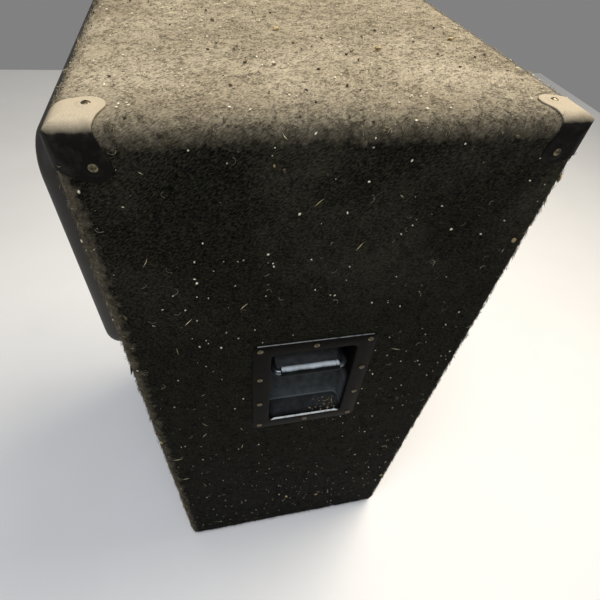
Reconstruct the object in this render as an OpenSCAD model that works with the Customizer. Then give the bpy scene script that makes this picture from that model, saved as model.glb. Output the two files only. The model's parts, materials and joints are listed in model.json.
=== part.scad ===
// Upright stage monitor loudspeaker: a carpeted plywood cabinet with two woofers, a horn,
// two recessed bar handles and plated corner protectors.
// Millimetres, +Z up, front towards -Y, origin on the floor under the middle of the whole object.

/* [Cabinet] */
// Width over the carpet
cab_w = 610; // [560:1:760]
// Depth over the carpet
cab_d = 508; // [440:1:640]
// Height over the carpet, without the feet
cab_h = 1118; // [1112:1:1400]
// Rounding of the long edges, over the carpet
edge_r = 20; // [16:1:21]
// Thickness of the plywood panels
ply_t = 18; // [17:0.2:22]
// Thickness of the trunk carpet
carpet_t = 4; // [3:0.5:6]
// Distance from the front edge back to the baffle
recess = 34; // [30:1:50]

/* [Corner protectors] */
// Thickness of the pressed steel
guard_t = 1.6; // [1:0.1:2.5]
// Length of each protector along the cabinet's edges
guard_l = 40; // [36:1:50]
// Distance of a protector's screw from both edges
guard_screw_in = 34.6; // [32:0.2:40]
// Radius of the round petal about that screw
petal_r = 15; // [12:0.5:16]

/* [Handles] */
// Height of the handle's middle above the bottom of the cabinet
handle_up = 691; // [400:1:800]
// Width of the flange, front to back
flange_w = 181; // [176:1:230]
// Height of the flange
flange_h = 238; // [230:1:290]
// Width of the hand opening
open_w = 127; // [105:1:140]
// Height of the hand opening
open_h = 190; // [158:1:200]
// Thickness of the pressed dish
dish_t = 1.6; // [1:0.1:2.4]
// Depth of the dish behind the bar
dish_d = 62; // [50:1:75]
// Depth of the dish along its lower edge
dish_low_d = 28; // [22:1:40]
// Height of the bar above the opening's middle
bar_up = 34; // [10:1:45]
// Radius of the bar's steel rod
rod_r = 4.8; // [3.5:0.1:6]
// Radius of the sleeve on the bar
grip_r = 8.5; // [7:0.5:12]

/* [Woofers] */
// Radius of a woofer's frame
woofer_r = 190; // [150:0.1:191]
// Width of the frame's flange outside the cut-out
woofer_rim = 13; // [11:0.5:16]
// Depth from the baffle's face to the magnet
woofer_depth = 98; // [90:1:120]
// Inner radius of the voice coil's former
coil_r = 38.1; // [32:0.1:44]
// Radius of the ferrite magnet
magnet_r = 90; // [80:1:100]
// Height of the ferrite magnet
magnet_t = 22; // [16:1:30]
// Radius of the surround's half roll
roll_r = 7; // [5:0.5:9]
// Greatest travel of the cone, each way
cone_travel = 7; // [3:0.5:8]

/* [Horn and driver] */
// Height of the horn's moulded lip
horn_h = 296; // [260:1:300]
// Distance that the lip stands in front of the cabinet
lip_out = 20; // [8:1:30]
// Bullnose radius of the lip's outer edge
lip_r = 16; // [8:1:20]
// Corner radius of the lip, seen from the front
lip_corner_r = 40; // [28:1:60]
// Width of the lip around the mouth
lip_w = 26; // [22:1:34]
// Depth of the throat behind the cabinet's front
horn_d = 235; // [200:1:260]
// Wall of the flare
horn_t = 4; // [3:0.5:6]
// Radius of the throat
throat_r = 12.7; // [12:0.1:16]
// Radius of the driver's magnet
driver_r = 62; // [56:1:70]
// Radius of the diaphragm's voice coil
dome_r = 22.2; // [20:0.2:24]

/* [Ports and grille] */
// Inner radius of a port tube
port_r = 48; // [35:1:52]
// Length of a port tube
port_l = 150; // [80:1:200]
// Thickness of the grille's steel
grille_t = 1.5; // [1:0.1:2]
// Thickness of the foam behind the grille
foam_t = 5; // [3:0.5:8]

/* [Input plate] */
// Height of the plate's middle above the bottom of the cabinet
input_up = 330; // [250:1:380]
// Width of the plate's flange
input_w = 180; // [160:1:200]
// Height of the plate's flange
input_h = 140; // [110:1:160]
// Depth of the recess
input_d = 38; // [30:1:50]
// Radius of a jack's bore
jack_r = 3.3; // [3.25:0.01:3.5]
// Depth of a jack's bore
jack_l = 30; // [26:1:34]
// Radius of the level knob
knob_r = 11; // [8:0.5:13]

/* [Feet and screws] */
// Height of the rubber feet
foot_h = 10; // [6:1:20]
// Radius of the rubber feet
foot_r = 20; // [14:1:26]
// Distance of a foot's middle from the cabinet's sides
foot_in = 60; // [40:1:90]
// Radius of a screw's shank
shank_r = 2; // [1.5:0.1:2.5]
// Radius of a pan head
head_r = 4.1; // [3.5:0.1:5]
// Height of a pan head
head_h = 2.4; // [1.8:0.1:3]
// Depth to which screws enter the plywood
bite = 12; // [8:1:15]

/* [Hidden] */
$fn = 64;

fit = 0.05;          // radial gap of a screw or a sleeve
run_fit = 0.05;      // radial gap of a turning shaft
drop_in = 1;         // gap about a piece that drops into a cut-out
handle_gap = 4;      // gap about a handle's dish, sawn wide so that it drops in past the carpet
over = 1;            // how far a cutting shape runs past what it cuts

plate_t = 2;         // thickness of the input plate
back_out = max(plate_t, guard_t) + head_h;
front_y = (lip_out - cab_d - back_out) / 2;
back_y = front_y + cab_d;
mid_y = (front_y + back_y) / 2;
base_z = foot_h;
top_z = foot_h + cab_h;
mid_z = (base_z + top_z) / 2;
wall = ply_t + carpet_t;
in_x = cab_w / 2 - wall;
in_z0 = base_z + wall;
in_z1 = top_z - wall;
baffle_y = front_y + recess;
baffle_back = baffle_y + ply_t;
back_in = back_y - wall;

// Horn and woofers share the baffle's height
lip_gap = 1.5;
horn_z1 = in_z1 - lip_gap;
horn_z0 = horn_z1 - horn_h;
horn_z = (horn_z0 + horn_z1) / 2;
lip_full_w = 2 * (in_x - lip_gap);
mouth_w = lip_full_w - 2 * lip_w;
mouth_h = horn_h - 2 * lip_w;
mouth_r = 18;
throat_y = front_y + horn_d;
woofer_space = (horn_z0 - in_z0 - 4 * woofer_r) / 3;
lower_z = in_z0 + woofer_space + woofer_r;
upper_z = lower_z + 2 * woofer_r + woofer_space;
woofer_zs = [lower_z, upper_z];

// ---- shared shapes ----
module rrect(w, h, r) {
    square([w - 2 * r, h], center = true);
    square([w, h - 2 * r], center = true);
    for (x = [-1, 1], y = [-1, 1]) translate([x * (w / 2 - r), y * (h / 2 - r)]) circle(r);
}

// A box with all its edges rounded, centred on the cabinet
module round_box(w, d, h, r) {
    translate([0, mid_y, mid_z]) intersection() {
        linear_extrude(h, center = true) rrect(w, d, r);
        rotate([90, 0, 0]) linear_extrude(d, center = true) rrect(w, h, r);
        rotate([90, 0, 90]) linear_extrude(w, center = true) rrect(d, h, r);
    }
}

module grown_cabinet(g) {
    round_box(cab_w + 2 * g, cab_d + 2 * g, cab_h + 2 * g, edge_r + g);
}

module ring(r_in, r_out, z0, z1) {
    translate([0, 0, z0]) difference() {
        cylinder(r = r_out, h = z1 - z0);
        translate([0, 0, -over]) cylinder(r = r_in, h = z1 - z0 + 2 * over);
    }
}

module block(a, b) { translate(a) cube(b - a); }

// Pan-head screw: the head's underside is at z = 0 and the shank points down
module screw(l) {
    slot_w = 0.9;
    slot_l = head_r * 1.15;
    difference() {
        rotate_extrude() intersection() {
            square([head_r, head_h]);
            translate([0, head_h - head_r * 1.5]) circle(head_r * 1.5);
        }
        for (a = [0, 90]) rotate(a) translate([-slot_l / 2, -slot_w / 2, head_h / 2])
            cube([slot_l, slot_w, head_h]);
    }
    translate([0, 0, -l]) cylinder(r = shank_r, h = l + head_h / 4);
}

// Hole for such a screw, from above its head's seat down to its point
module bore(l) { translate([0, 0, -l - fit]) cylinder(r = shank_r + fit, h = l + over); }

// Local frames: z points out of the face, y points up
module on_right(y, z) { translate([cab_w / 2, y, z]) rotate([90, 0, 90]) children(); }
module on_side(s, y, z) {
    if (s > 0) on_right(y, z) children();
    else mirror([1, 0, 0]) on_right(y, z) children();
}
module on_back(z) { translate([0, back_y, z]) rotate([90, 0, 180]) children(); }
module on_front(y, z) { translate([0, y, z]) rotate([90, 0, 0]) children(); }

// ---- cabinet ----
handle_z = base_z + handle_up;
handle_step = [80, 72];
handle_points = [for (i = [-1, 0, 1], j = [-1.5, -0.5, 0.5, 1.5])
    if (i != 0 || abs(j) > 1) [i * handle_step.x, j * handle_step.y]];
handle_screw_l = carpet_t + bite;

module at_handle_screws(s) {
    on_side(s, mid_y, handle_z) for (p = handle_points) translate([p.x, p.y, dish_t]) children();
}

module handle_cut(s) {
    on_side(s, mid_y, handle_z) translate([0, 0, -wall - over]) linear_extrude(wall + 2 * over)
        square([open_w + 2 * (dish_t + handle_gap), open_h + 2 * (dish_t + handle_gap)], center = true);
}

module at_guard_top_screws(sy) {
    for (sx = [-1, 1])
        translate([sx * (cab_w / 2 - guard_screw_in), mid_y + sy * (cab_d / 2 - guard_screw_in), top_z])
            translate([0, 0, guard_t]) children();
}
module at_guard_side_screws(sx) {
    for (sy = [-1, 1])
        on_side(sx, mid_y + sy * (cab_d / 2 - guard_screw_in), top_z - guard_screw_in)
            translate([0, 0, guard_t]) children();
}
module at_guard_back_screws() {
    for (sx = [-1, 1])
        on_back(top_z - guard_screw_in) translate([sx * (cab_w / 2 - guard_screw_in), 0, guard_t])
            children();
}
guard_screw_l = carpet_t + bite;

module at_feet() {
    for (sx = [-1, 1], sy = [-1, 1])
        translate([sx * (cab_w / 2 - foot_in), mid_y + sy * (cab_d / 2 - foot_in), 0]) children();
}
foot_seat = foot_h / 2;
foot_screw_l = foot_h - foot_seat + carpet_t + bite;
module at_foot_screws() { at_feet() translate([0, 0, foot_seat]) rotate([180, 0, 0]) children(); }

module core() {
    round_box(cab_w - 2 * carpet_t, cab_d - 2 * carpet_t, cab_h - 2 * carpet_t, edge_r - carpet_t);
}

module side_panel(s) {
    color("burlywood") difference() {
        intersection() {
            core();
            translate([s * (cab_w / 2 - carpet_t - ply_t / 2), mid_y, mid_z])
                cube([ply_t, cab_d, cab_h], center = true);
        }
        handle_cut(s);
        at_handle_screws(s) bore(handle_screw_l + dish_t);
        at_guard_side_screws(s) bore(guard_screw_l + guard_t);
    }
}

module flat_panel(z0, z1) {
    intersection() {
        core();
        block([-in_x, front_y, z0], [in_x, back_y, z1]);
    }
}

module top_panel() {
    color("burlywood") difference() {
        flat_panel(in_z1, top_z);
        for (sy = [-1, 1]) at_guard_top_screws(sy) bore(guard_screw_l + guard_t);
    }
}

module bottom_panel() {
    color("burlywood") difference() {
        flat_panel(base_z, in_z0);
        at_foot_screws() bore(foot_screw_l);
    }
}

input_z = base_z + input_up;
input_open = [input_w - 40, input_h - 40];
input_points = [for (i = [-1, 1], j = [-1, 1]) [i * (input_w / 2 - 10), j * (input_h / 2 - 10)]];
module at_input_screws() {
    on_back(input_z) for (p = input_points) translate([p.x, p.y, plate_t]) children();
}
module input_cut() {
    on_back(input_z) translate([0, 0, -wall - over]) linear_extrude(wall + 2 * over)
        square(input_open + 2 * (plate_t + drop_in) * [1, 1], center = true);
}
input_screw_l = carpet_t + bite;

module back_panel() {
    color("burlywood") difference() {
        block([-in_x, back_in, in_z0], [in_x, back_y - carpet_t, in_z1]);
        input_cut();
        at_input_screws() bore(input_screw_l + plate_t);
        at_guard_back_screws() bore(guard_screw_l + guard_t);
    }
}

module carpet_wrap() {
    seam_w = cab_w - 2 * edge_r;
    seam_h = cab_h - 2 * edge_r;
    color("#23221c") difference() {
        grown_cabinet(0);
        core();
        block([-in_x, front_y - over, in_z0], [in_x, mid_y, in_z1]);
        translate([0, back_y, mid_z]) cube([seam_w, 2 * carpet_t + 2, seam_h], center = true);
        for (s = [-1, 1]) {
            handle_cut(s);
            at_handle_screws(s) bore(handle_screw_l + dish_t);
            at_guard_side_screws(s) bore(guard_screw_l + guard_t);
            at_guard_top_screws(s) bore(guard_screw_l + guard_t);
        }
        at_foot_screws() bore(foot_screw_l);
    }
}

module carpet_back() {
    seam_w = cab_w - 2 * edge_r;
    seam_h = cab_h - 2 * edge_r;
    color("#23221c") difference() {
        translate([0, back_y - carpet_t / 2, mid_z]) cube([seam_w, carpet_t, seam_h], center = true);
        input_cut();
        at_input_screws() bore(input_screw_l + plate_t);
        at_guard_back_screws() bore(guard_screw_l + guard_t);
    }
}

// The brace is open towards the baffle, so that the upper woofer's basket clears it,
// and is notched wherever it meets a handle's dish
brace_z = lower_z + woofer_r + woofer_space / 2 + port_r + 22;
brace_cut_w = 320;
brace_back_w = 80;
module shelf_brace() {
    color("burlywood") difference() {
        block([-in_x, baffle_back, brace_z], [in_x, back_in, brace_z + ply_t]);
        block([-brace_cut_w / 2, baffle_back - over, brace_z - over],
              [brace_cut_w / 2, back_in - brace_back_w, brace_z + ply_t + over]);
        for (s = [-1, 1]) on_side(s, mid_y, handle_z) dish_block(dish_t + handle_gap, 0);
    }
}

wadding_t = 25;
wadding_gap = 8;
module damping_wadding() {
    w = in_x - wadding_gap;
    color("gainsboro") {
        difference() {
            block([-w, back_in - wadding_t, in_z0 + 70], [w, back_in, brace_z - wadding_gap]);
            on_back(input_z) translate([0, 0, -cab_d / 2]) linear_extrude(cab_d / 2)
                square([input_w, input_h], center = true);
        }
        block([-w, back_in - wadding_t, brace_z + ply_t + wadding_gap],
              [w, back_in, in_z1 - wadding_t - wadding_gap]);
        block([-w, throat_y, in_z1 - wadding_t], [w, back_in, in_z1]);
    }
}

// ---- corner protectors ----
petal_root = 6;          // straight length of a petal's side before it widens to its tip
module petal(with_tip) {
    c = guard_screw_in;
    wide = c + petal_r * cos(20);
    low = c - petal_r * sin(20);
    square(guard_l);
    if (with_tip) {
        translate([c, c]) circle(petal_r);
        polygon([[0, 0], [guard_l, 0], [guard_l, petal_root], [wide, low], [c, c],
                 [low, wide], [petal_root, guard_l], [0, guard_l]]);
    }
}

// Reach of a protector on three faces, with the cabinet's corner at the origin and the
// cabinet towards +x, +y and -z; the front face has only its narrow border to cover
module guard_reach(front) {
    deep = edge_r + guard_t + 2;
    border = wall - 2;
    difference() {
        union() {
            translate([0, 0, -deep]) linear_extrude(deep + guard_t) petal(true);
            rotate([0, 90, 0]) translate([0, 0, -guard_t]) linear_extrude(deep + guard_t) petal(true);
            translate([0, deep, 0]) rotate([90, 90, 0]) linear_extrude(deep + guard_t) petal(!front);
        }
        if (front) block([border, -2 * guard_t, -guard_l - over], [guard_l + over, edge_r / 2, -border]);
    }
    translate([-guard_t, -guard_t, -edge_r]) cube([edge_r, edge_r, edge_r + guard_t]);
}

module corner_guard(sx, sy) {
    color("#b9ae98") difference() {
        intersection() {
            grown_cabinet(guard_t);
            translate([sx * cab_w / 2, mid_y + sy * cab_d / 2, top_z])
                mirror([sx > 0 ? 1 : 0, 0, 0]) mirror([0, sy > 0 ? 1 : 0, 0]) guard_reach(sy < 0);
        }
        grown_cabinet(0);
        at_guard_top_screws(sy) bore(guard_screw_l + guard_t);
        at_guard_side_screws(sx) bore(guard_screw_l + guard_t);
        if (sy > 0) at_guard_back_screws() bore(guard_screw_l + guard_t);
    }
}

module corner_screws() {
    color("#a89d84") {
        for (s = [-1, 1]) {
            at_guard_top_screws(s) screw(guard_screw_l);
            at_guard_side_screws(s) screw(guard_screw_l);
        }
        at_guard_back_screws() screw(guard_screw_l);
    }
}

// ---- feet ----
module rubber_feet() {
    color("#1b1b1b") at_feet() difference() {
        cylinder(r1 = foot_r - 2, r2 = foot_r, h = foot_h);
        translate([0, 0, -over]) cylinder(r = head_r + 1, h = foot_seat + over);
        translate([0, 0, -over]) cylinder(r = shank_r + fit, h = foot_h + 2 * over);
    }
}
module foot_screws() { color("silver") at_foot_screws() screw(foot_screw_l); }

// ---- handles, in the side's local frame: x to the back, y up, z out ----
dish_knee = -20;     // height at which the sloped lower wall meets the upright back wall
function dish_outline(g, lip) =
    let (dx = dish_d - dish_low_d, dy = dish_knee + open_h / 2, l = norm([dx, dy]))
    [[-lip, -open_h / 2 - g], [dish_low_d + g * (l - dx) / dy, -open_h / 2 - g],
     [dish_d + g, dish_knee - g * (l - dy) / dx], [dish_d + g, open_h / 2 + g], [-lip, open_h / 2 + g]];

module dish_block(g, lip) {
    rotate([0, 90, 0]) linear_extrude(open_w + 2 * g, center = true) polygon(dish_outline(g, lip));
}

module handle_dish(s) {
    color("#1d1c1a") difference() {
        on_side(s, mid_y, handle_z) difference() {
            union() {
                linear_extrude(dish_t) rrect(flange_w, flange_h, 8);
                dish_block(dish_t, 0);
            }
            dish_block(0, dish_t + over);
        }
        at_handle_screws(s) bore(handle_screw_l + dish_t);
    }
}

leg_gap = 2.5;
bend_r = 9;
leg_x = open_w / 2 - leg_gap - rod_r;
bar_in = grip_r + 1;     // depth of the bar's axis behind the cabinet's face
module handle_bar(s) {
    straight = leg_x - bend_r;
    color("#3a3f42") on_side(s, mid_y, handle_z) translate([0, bar_up, -bar_in]) {
        rotate([0, 90, 0]) cylinder(r = rod_r, h = 2 * straight, center = true);
        for (m = [0, 1]) mirror([m, 0, 0]) {
            translate([straight, 0, -bend_r]) rotate([90, 0, 0]) rotate_extrude(angle = 90)
                translate([bend_r, 0]) circle(rod_r);
            translate([leg_x, 0, bar_in - dish_d]) cylinder(r = rod_r, h = dish_d - bar_in - bend_r);
        }
    }
}
module handle_grip(s) {
    grip_l = 2 * (leg_x - bend_r) - 1;
    color("#26292b") on_side(s, mid_y, handle_z) translate([0, bar_up, -bar_in]) rotate([0, 90, 0])
        ring(rod_r + fit, grip_r, -grip_l / 2, grip_l / 2);
}
module handle_screws() {
    color("#8d8468") for (s = [-1, 1]) at_handle_screws(s) screw(handle_screw_l);
}

// ---- woofers, in a local frame: z = 0 on the baffle's face and +z towards the front ----
cut_r = woofer_r - woofer_rim;
frame_t = 5;
seat_z = -7;             // height of the surround's seat and of the cone's rim
seat_w = 10;
seat_r = cut_r - seat_w;
sheet = 2.5;             // thickness of the pressed basket
base_r = magnet_r + 2;
shelf_z = -woofer_depth + 14;
shelf_r = coil_r + 32;
former_t = 0.8;
former_r = coil_r + former_t;
cone_t = 1.1;
rim_r = seat_r - 2 * roll_r;
rim_w = 7;
neck_z = seat_z - 1 - (woofer_depth - 28);
plate2_t = 8;            // thickness of the woofer's steel plates
coil_gap = 1.2;
screw_ring_r = (woofer_r + cut_r) / 2;
woofer_screw_n = 8;
woofer_screw_l = frame_t + bite;

module at_woofers() { for (z = woofer_zs) on_front(baffle_y, z) children(); }
module at_woofer_screws() {
    at_woofers() for (i = [0 : woofer_screw_n - 1])
        rotate((i + 0.5) * 360 / woofer_screw_n) translate([screw_ring_r, 0, frame_t]) children();
}

module basket() {
    outer = cut_r - sheet;
    deep = -woofer_depth;
    window_w = 0.33 * cut_r;
    difference() {
        union() {
            rotate_extrude() polygon([
                [seat_r, seat_z], [outer, seat_z], [outer, frame_t], [woofer_r, frame_t],
                [woofer_r, 0], [cut_r, 0], [cut_r, seat_z - 4], [base_r + sheet, deep],
                [coil_r + 6, deep], [coil_r + 6, deep + sheet], [base_r, deep + sheet],
                [outer, seat_z - 3], [seat_r, seat_z - 3]]);
            ring(shelf_r, base_r + 12, shelf_z - sheet, shelf_z);
        }
        for (i = [0 : 7]) rotate(i * 45) translate([shelf_r + 20, -window_w / 2, shelf_z + 8])
            cube([woofer_r, window_w, seat_z - 12 - shelf_z - 8]);
    }
}
module woofer_baskets() {
    color("#2b2b2b") difference() {
        at_woofers() basket();
        at_woofer_screws() bore(woofer_screw_l + frame_t);
    }
}
module woofer_top_plates() {
    color("dimgray") at_woofers() translate([0, 0, -woofer_depth - plate2_t])
        ring(former_r + coil_gap, magnet_r - 10, 0, plate2_t);
}
module woofer_magnets() {
    color("#303030") at_woofers()
        ring(coil_r + 8, magnet_r, -woofer_depth - plate2_t - magnet_t, -woofer_depth - plate2_t);
}
module woofer_pole_plates() {
    vent_r = 12;
    plate_top = -woofer_depth - plate2_t - magnet_t;
    color("dimgray") at_woofers() difference() {
        union() {
            translate([0, 0, plate_top - plate2_t]) cylinder(r = magnet_r - 8, h = plate2_t);
            translate([0, 0, plate_top - over]) cylinder(r = coil_r - coil_gap, h = magnet_t + plate2_t + over);
        }
        translate([0, 0, plate_top - plate2_t - over]) cylinder(r = vent_r, h = magnet_t + 2 * plate2_t + 2 * over);
    }
}
module voice_coil(z) {
    color("#b87333") on_front(baffle_y, z) ring(coil_r, former_r, -woofer_depth - 12, neck_z + 5);
}
module cone(z) {
    color("#1c1c1c") on_front(baffle_y, z) rotate_extrude() polygon([
        [former_r + fit, neck_z], [rim_r - rim_w, seat_z - 1 - cone_t / 2], [rim_r, seat_z - 1],
        [rim_r, seat_z], [rim_r - rim_w, seat_z], [former_r + fit, neck_z + cone_t]]);
}
cap_r = coil_r + 14;
cap_rise = 15;
function cone_z(r) = neck_z + cone_t + (r - former_r - fit)
    * (seat_z - neck_z - cone_t) / (rim_r - rim_w - former_r - fit);
module dust_cap(z) {
    big_r = (cap_r * cap_r + cap_rise * cap_rise) / (2 * cap_rise);
    cap_t = 0.8;
    color("#161616") on_front(baffle_y, z) translate([0, 0, cone_z(cap_r) + fit]) rotate_extrude()
        intersection() {
            translate([0, cap_rise - big_r]) difference() { circle(big_r, $fn = 180); circle(big_r - cap_t, $fn = 180); }
            square([cap_r, cap_rise + over]);
        }
}
module surround(z) {
    skin = 1;
    color("#202020") on_front(baffle_y, z) rotate_extrude() {
        translate([rim_r - rim_w + 1, seat_z]) square([rim_w, skin]);
        translate([seat_r - 1, seat_z]) square([seat_w - sheet - 1, skin]);
        translate([rim_r + roll_r, seat_z]) intersection() {
            difference() { circle(roll_r + skin / 2); circle(roll_r - skin / 2); }
            translate([-2 * roll_r, 0]) square([4 * roll_r, 2 * roll_r]);
        }
    }
}
module spider(z) {
    waves = 5;
    r0 = former_r + fit;
    r1 = shelf_r;
    r2 = shelf_r + 16;
    cloth = 0.8;
    amp = 1.6;
    step = (r1 - r0) / (2 * waves);
    mid = [for (i = [1 : 2 * waves - 1]) [r0 + i * step, (i % 2 == 1 ? amp : 0)]];
    path = concat([[r0, 0]], mid, [[r1, 0], [r2, 0]]);
    color("#c9a24b") on_front(baffle_y, z) translate([0, 0, shelf_z]) rotate_extrude()
        polygon(concat(path, [for (i = [len(path) - 1 : -1 : 0]) path[i] + [0, cloth]]));
}

// ---- horn ----
horn_points = [for (i = [-1, 0, 1], j = [-1, 1])
    [i * (lip_full_w / 2 - (i == 0 ? 0 : 24)), j * (horn_h / 2 - (i == 0 ? lip_w / 2 : 24))]];
horn_seat = 4;
horn_screw_l = horn_seat + bite;
module at_horn_screws() {
    on_front(baffle_y, horn_z) for (p = horn_points) translate([p.x, p.y, horn_seat]) children();
}

module rounded_front(w, l, r) {      // 2D, front edge at y = l
    translate([-w / 2, 0]) square([w, l - r]);
    translate([-w / 2 + r, 0]) square([w - 2 * r, l]);
    for (s = [-1, 1]) translate([s * (w / 2 - r), l - r]) circle(r);
}
module horn_lip() {
    l = recess + lip_out;
    intersection() {
        linear_extrude(l) difference() {
            rrect(lip_full_w, horn_h, lip_corner_r);
            rrect(mouth_w, mouth_h, mouth_r);
        }
        rotate([90, 0, 0]) linear_extrude(horn_h, center = true) rounded_front(lip_full_w, l, lip_r);
        rotate([90, 0, 90]) linear_extrude(lip_full_w, center = true) rounded_front(horn_h, l, lip_r);
    }
}
module flare_solid(g) {
    skin = 0.1;
    hull() {
        translate([0, 0, -skin]) linear_extrude(skin) rrect(mouth_w + 2 * g, mouth_h + 2 * g, mouth_r + g, $fn = 32);
        translate([0, 0, recess - horn_d]) cylinder(r = throat_r + g, h = skin, $fn = 48);
    }
}
horn_base_r = 54;
horn_base_t = 8;
bolt_ring_r = 45;
bolt_angles = [60, 120, 240, 300];
module horn_flare() {
    color("#1a1a1a") difference() {
        on_front(baffle_y, horn_z) {
            horn_lip();
            difference() {
                union() {
                    flare_solid(horn_t);
                    translate([0, 0, recess - horn_d]) cylinder(r = horn_base_r, h = horn_base_t);
                }
                flare_solid(0);
                translate([0, 0, recess - horn_d - over]) cylinder(r = throat_r, h = horn_base_t);
                for (a = bolt_angles) rotate(a) translate([bolt_ring_r, 0, recess - horn_d - over])
                    cylinder(r = bolt_r + 4 * fit, h = horn_base_t + 2 * over);
            }
        }
        at_horn_screws() bore(horn_screw_l);
        at_horn_screws() cylinder(r = head_r + 2, h = recess + lip_out);
    }
}

module front_baffle() {
    hole_w = mouth_w + 2 * (horn_t + drop_in);
    hole_h = mouth_h + 2 * (horn_t + drop_in);
    color("burlywood") difference() {
        block([-in_x, baffle_y, in_z0], [in_x, baffle_back, in_z1]);
        at_woofers() translate([0, 0, -ply_t - over]) cylinder(r = cut_r + drop_in, h = ply_t + 2 * over, $fn = 96);
        at_ports() translate([0, 0, -ply_t - over]) cylinder(r = port_r + port_t + fit, h = ply_t + 2 * over);
        at_ports() translate([0, 0, -port_flange_t]) cylinder(r = port_flange_r + fit, h = ply_t);
        on_front(baffle_back, horn_z) translate([0, 0, -over]) linear_extrude(ply_t + 2 * over)
            rrect(hole_w, hole_h, mouth_r);
        at_woofer_screws() bore(woofer_screw_l);
        at_horn_screws() bore(horn_screw_l);
        at_grille_screws() bore(grille_screw_l);
    }
}
module baffle_screws() {
    color("#151515") {
        at_woofer_screws() screw(woofer_screw_l);
        at_horn_screws() screw(horn_screw_l);
    }
}

// ---- compression driver: z = 0 on the horn's rear face, +z towards the front ----
bolt_r = 3;
pole_t = 9;
dmag_t = 16;
dtop_t = 8;
dgap = 0.8;
dcoil_t = 0.6;
dome_z = -pole_t - dmag_t - dtop_t;
module on_throat() { on_front(throat_y, horn_z) children(); }
module driver_pole_plate() {
    color("dimgray") on_throat() difference() {
        union() {
            translate([0, 0, -pole_t]) cylinder(r = driver_r - 4, h = pole_t);
            translate([0, 0, dome_z]) cylinder(r = dome_r - dgap, h = -dome_z);
        }
        translate([0, 0, dome_z - over]) cylinder(r = throat_r, h = 2 * over - dome_z);
        for (a = bolt_angles) rotate(a) translate([bolt_ring_r, 0, 1 - pole_t])
            cylinder(r = bolt_r + fit, h = pole_t);
    }
}
module driver_magnet() {
    color("#303030") on_throat() ring(dome_r + 7, driver_r, -pole_t - dmag_t, -pole_t);
}
module driver_top_plate() {
    color("dimgray") on_throat() ring(dome_r + dcoil_t + dgap, driver_r - 4, dome_z, dome_z + dtop_t);
}
module phase_plug() {
    plug_r = throat_r - 2.2;
    plug_base = 6;
    rib_t = 1.2;
    color("darkkhaki") on_throat() {
        translate([0, 0, dome_z]) cylinder(r = plug_r, h = plug_base);
        translate([0, 0, dome_z + plug_base]) cylinder(r1 = plug_r, r2 = 1, h = pole_t + dmag_t - plug_base);
        for (a = [0, 120, 240]) rotate(a) translate([plug_r / 2, -rib_t / 2, dome_z + 1])
            cube([throat_r - fit - plug_r / 2, rib_t, plug_base - 2]);
    }
}
dome_rise = 8.5;
dome_skin = 0.4;
module diaphragm() {
    out_r = dome_r + dcoil_t;
    big_r = (out_r * out_r + dome_rise * dome_rise) / (2 * dome_rise);
    color("silver") on_throat() {
        ring(dome_r, out_r, dome_z - 1.2, dome_z + dtop_t / 2);
        translate([0, 0, dome_z - 1.2]) mirror([0, 0, 1]) rotate_extrude() intersection() {
            translate([0, dome_rise - big_r]) difference() { circle(big_r, $fn = 128); circle(big_r - dome_skin, $fn = 128); }
            square([out_r, dome_rise + over]);
        }
    }
}
module diaphragm_suspension() {
    clamp_r = dome_r + 7;
    color("#d8c27a") on_throat() {
        ring(dome_r + dcoil_t + fit, clamp_r, dome_z - 1.2, dome_z - 0.9);
        ring(clamp_r, clamp_r + 6, dome_z - 1.2, dome_z);
    }
}
cover_r = 45;
module driver_cover() {
    deep = 26;
    color("#222222") on_throat() translate([0, 0, dome_z - deep]) difference() {
        cylinder(r = cover_r, h = deep);
        translate([0, 0, 2.5]) cylinder(r = cover_r - 2.5, h = deep);
    }
}
module driver_bolts() {
    color("silver") on_throat() for (a = bolt_angles) rotate(a) translate([bolt_ring_r, 0, 2 - pole_t]) {
        cylinder(r = bolt_r, h = horn_base_t + pole_t - 2);
        translate([0, 0, horn_base_t + pole_t - 2]) cylinder(r = bolt_r + 2, h = 4, $fn = 6);
    }
}

// ---- ports and grille ----
port_t = 2;
port_flange_t = 3;
port_flange_r = port_r + port_t + 6;
port_x = in_x - 4 - port_flange_r;
port_z = (lower_z + upper_z) / 2;
module at_ports() { for (s = [-1, 1]) translate([s * port_x, 0, 0]) on_front(baffle_y, port_z) children(); }
module port_tubes() {
    color("#151515") at_ports() {
        ring(port_r, port_r + port_t, -port_l, 0);
        ring(port_r, port_flange_r, -port_flange_t, 0);
    }
}

grille_gap = 1;
grille_set = 1;          // how far the grille's face lies behind the cabinet's front
grille_x = in_x - grille_gap;
grille_z0 = in_z0 + grille_gap;
grille_z1 = horn_z0 - lip_gap;
grille_face = front_y + grille_set;
grille_screw_l = recess - grille_set + bite;
module at_grille_screws() {
    xs = [-1, 1];
    for (x = xs, z = woofer_zs) on_front(grille_face, z) translate([x * (grille_x - 10), 0, 0]) children();
    for (x = xs, z = [grille_z0 + 18, grille_z1 - 18])
        on_front(grille_face, z) translate([x * (grille_x - 18), 0, 0]) children();
}
module grille() {
    color("#121212") difference() {
        block([-grille_x, grille_face, grille_z0], [grille_x, baffle_y, grille_z1]);
        block([-grille_x + grille_t, grille_face + grille_t, grille_z0 + grille_t],
              [grille_x - grille_t, baffle_y + over, grille_z1 - grille_t]);
        at_grille_screws() bore(grille_screw_l);
    }
}
module grille_foam() {
    m = grille_t + 0.5;
    color("#1e1e1e") difference() {
        block([-grille_x + m, grille_face + grille_t, grille_z0 + m],
              [grille_x - m, grille_face + grille_t + foam_t, grille_z1 - m]);
        at_grille_screws() bore(grille_screw_l);
    }
}
module panel_screws() {
    color("#151515") {
        at_grille_screws() screw(grille_screw_l);
        at_input_screws() screw(input_screw_l);
    }
}

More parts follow.
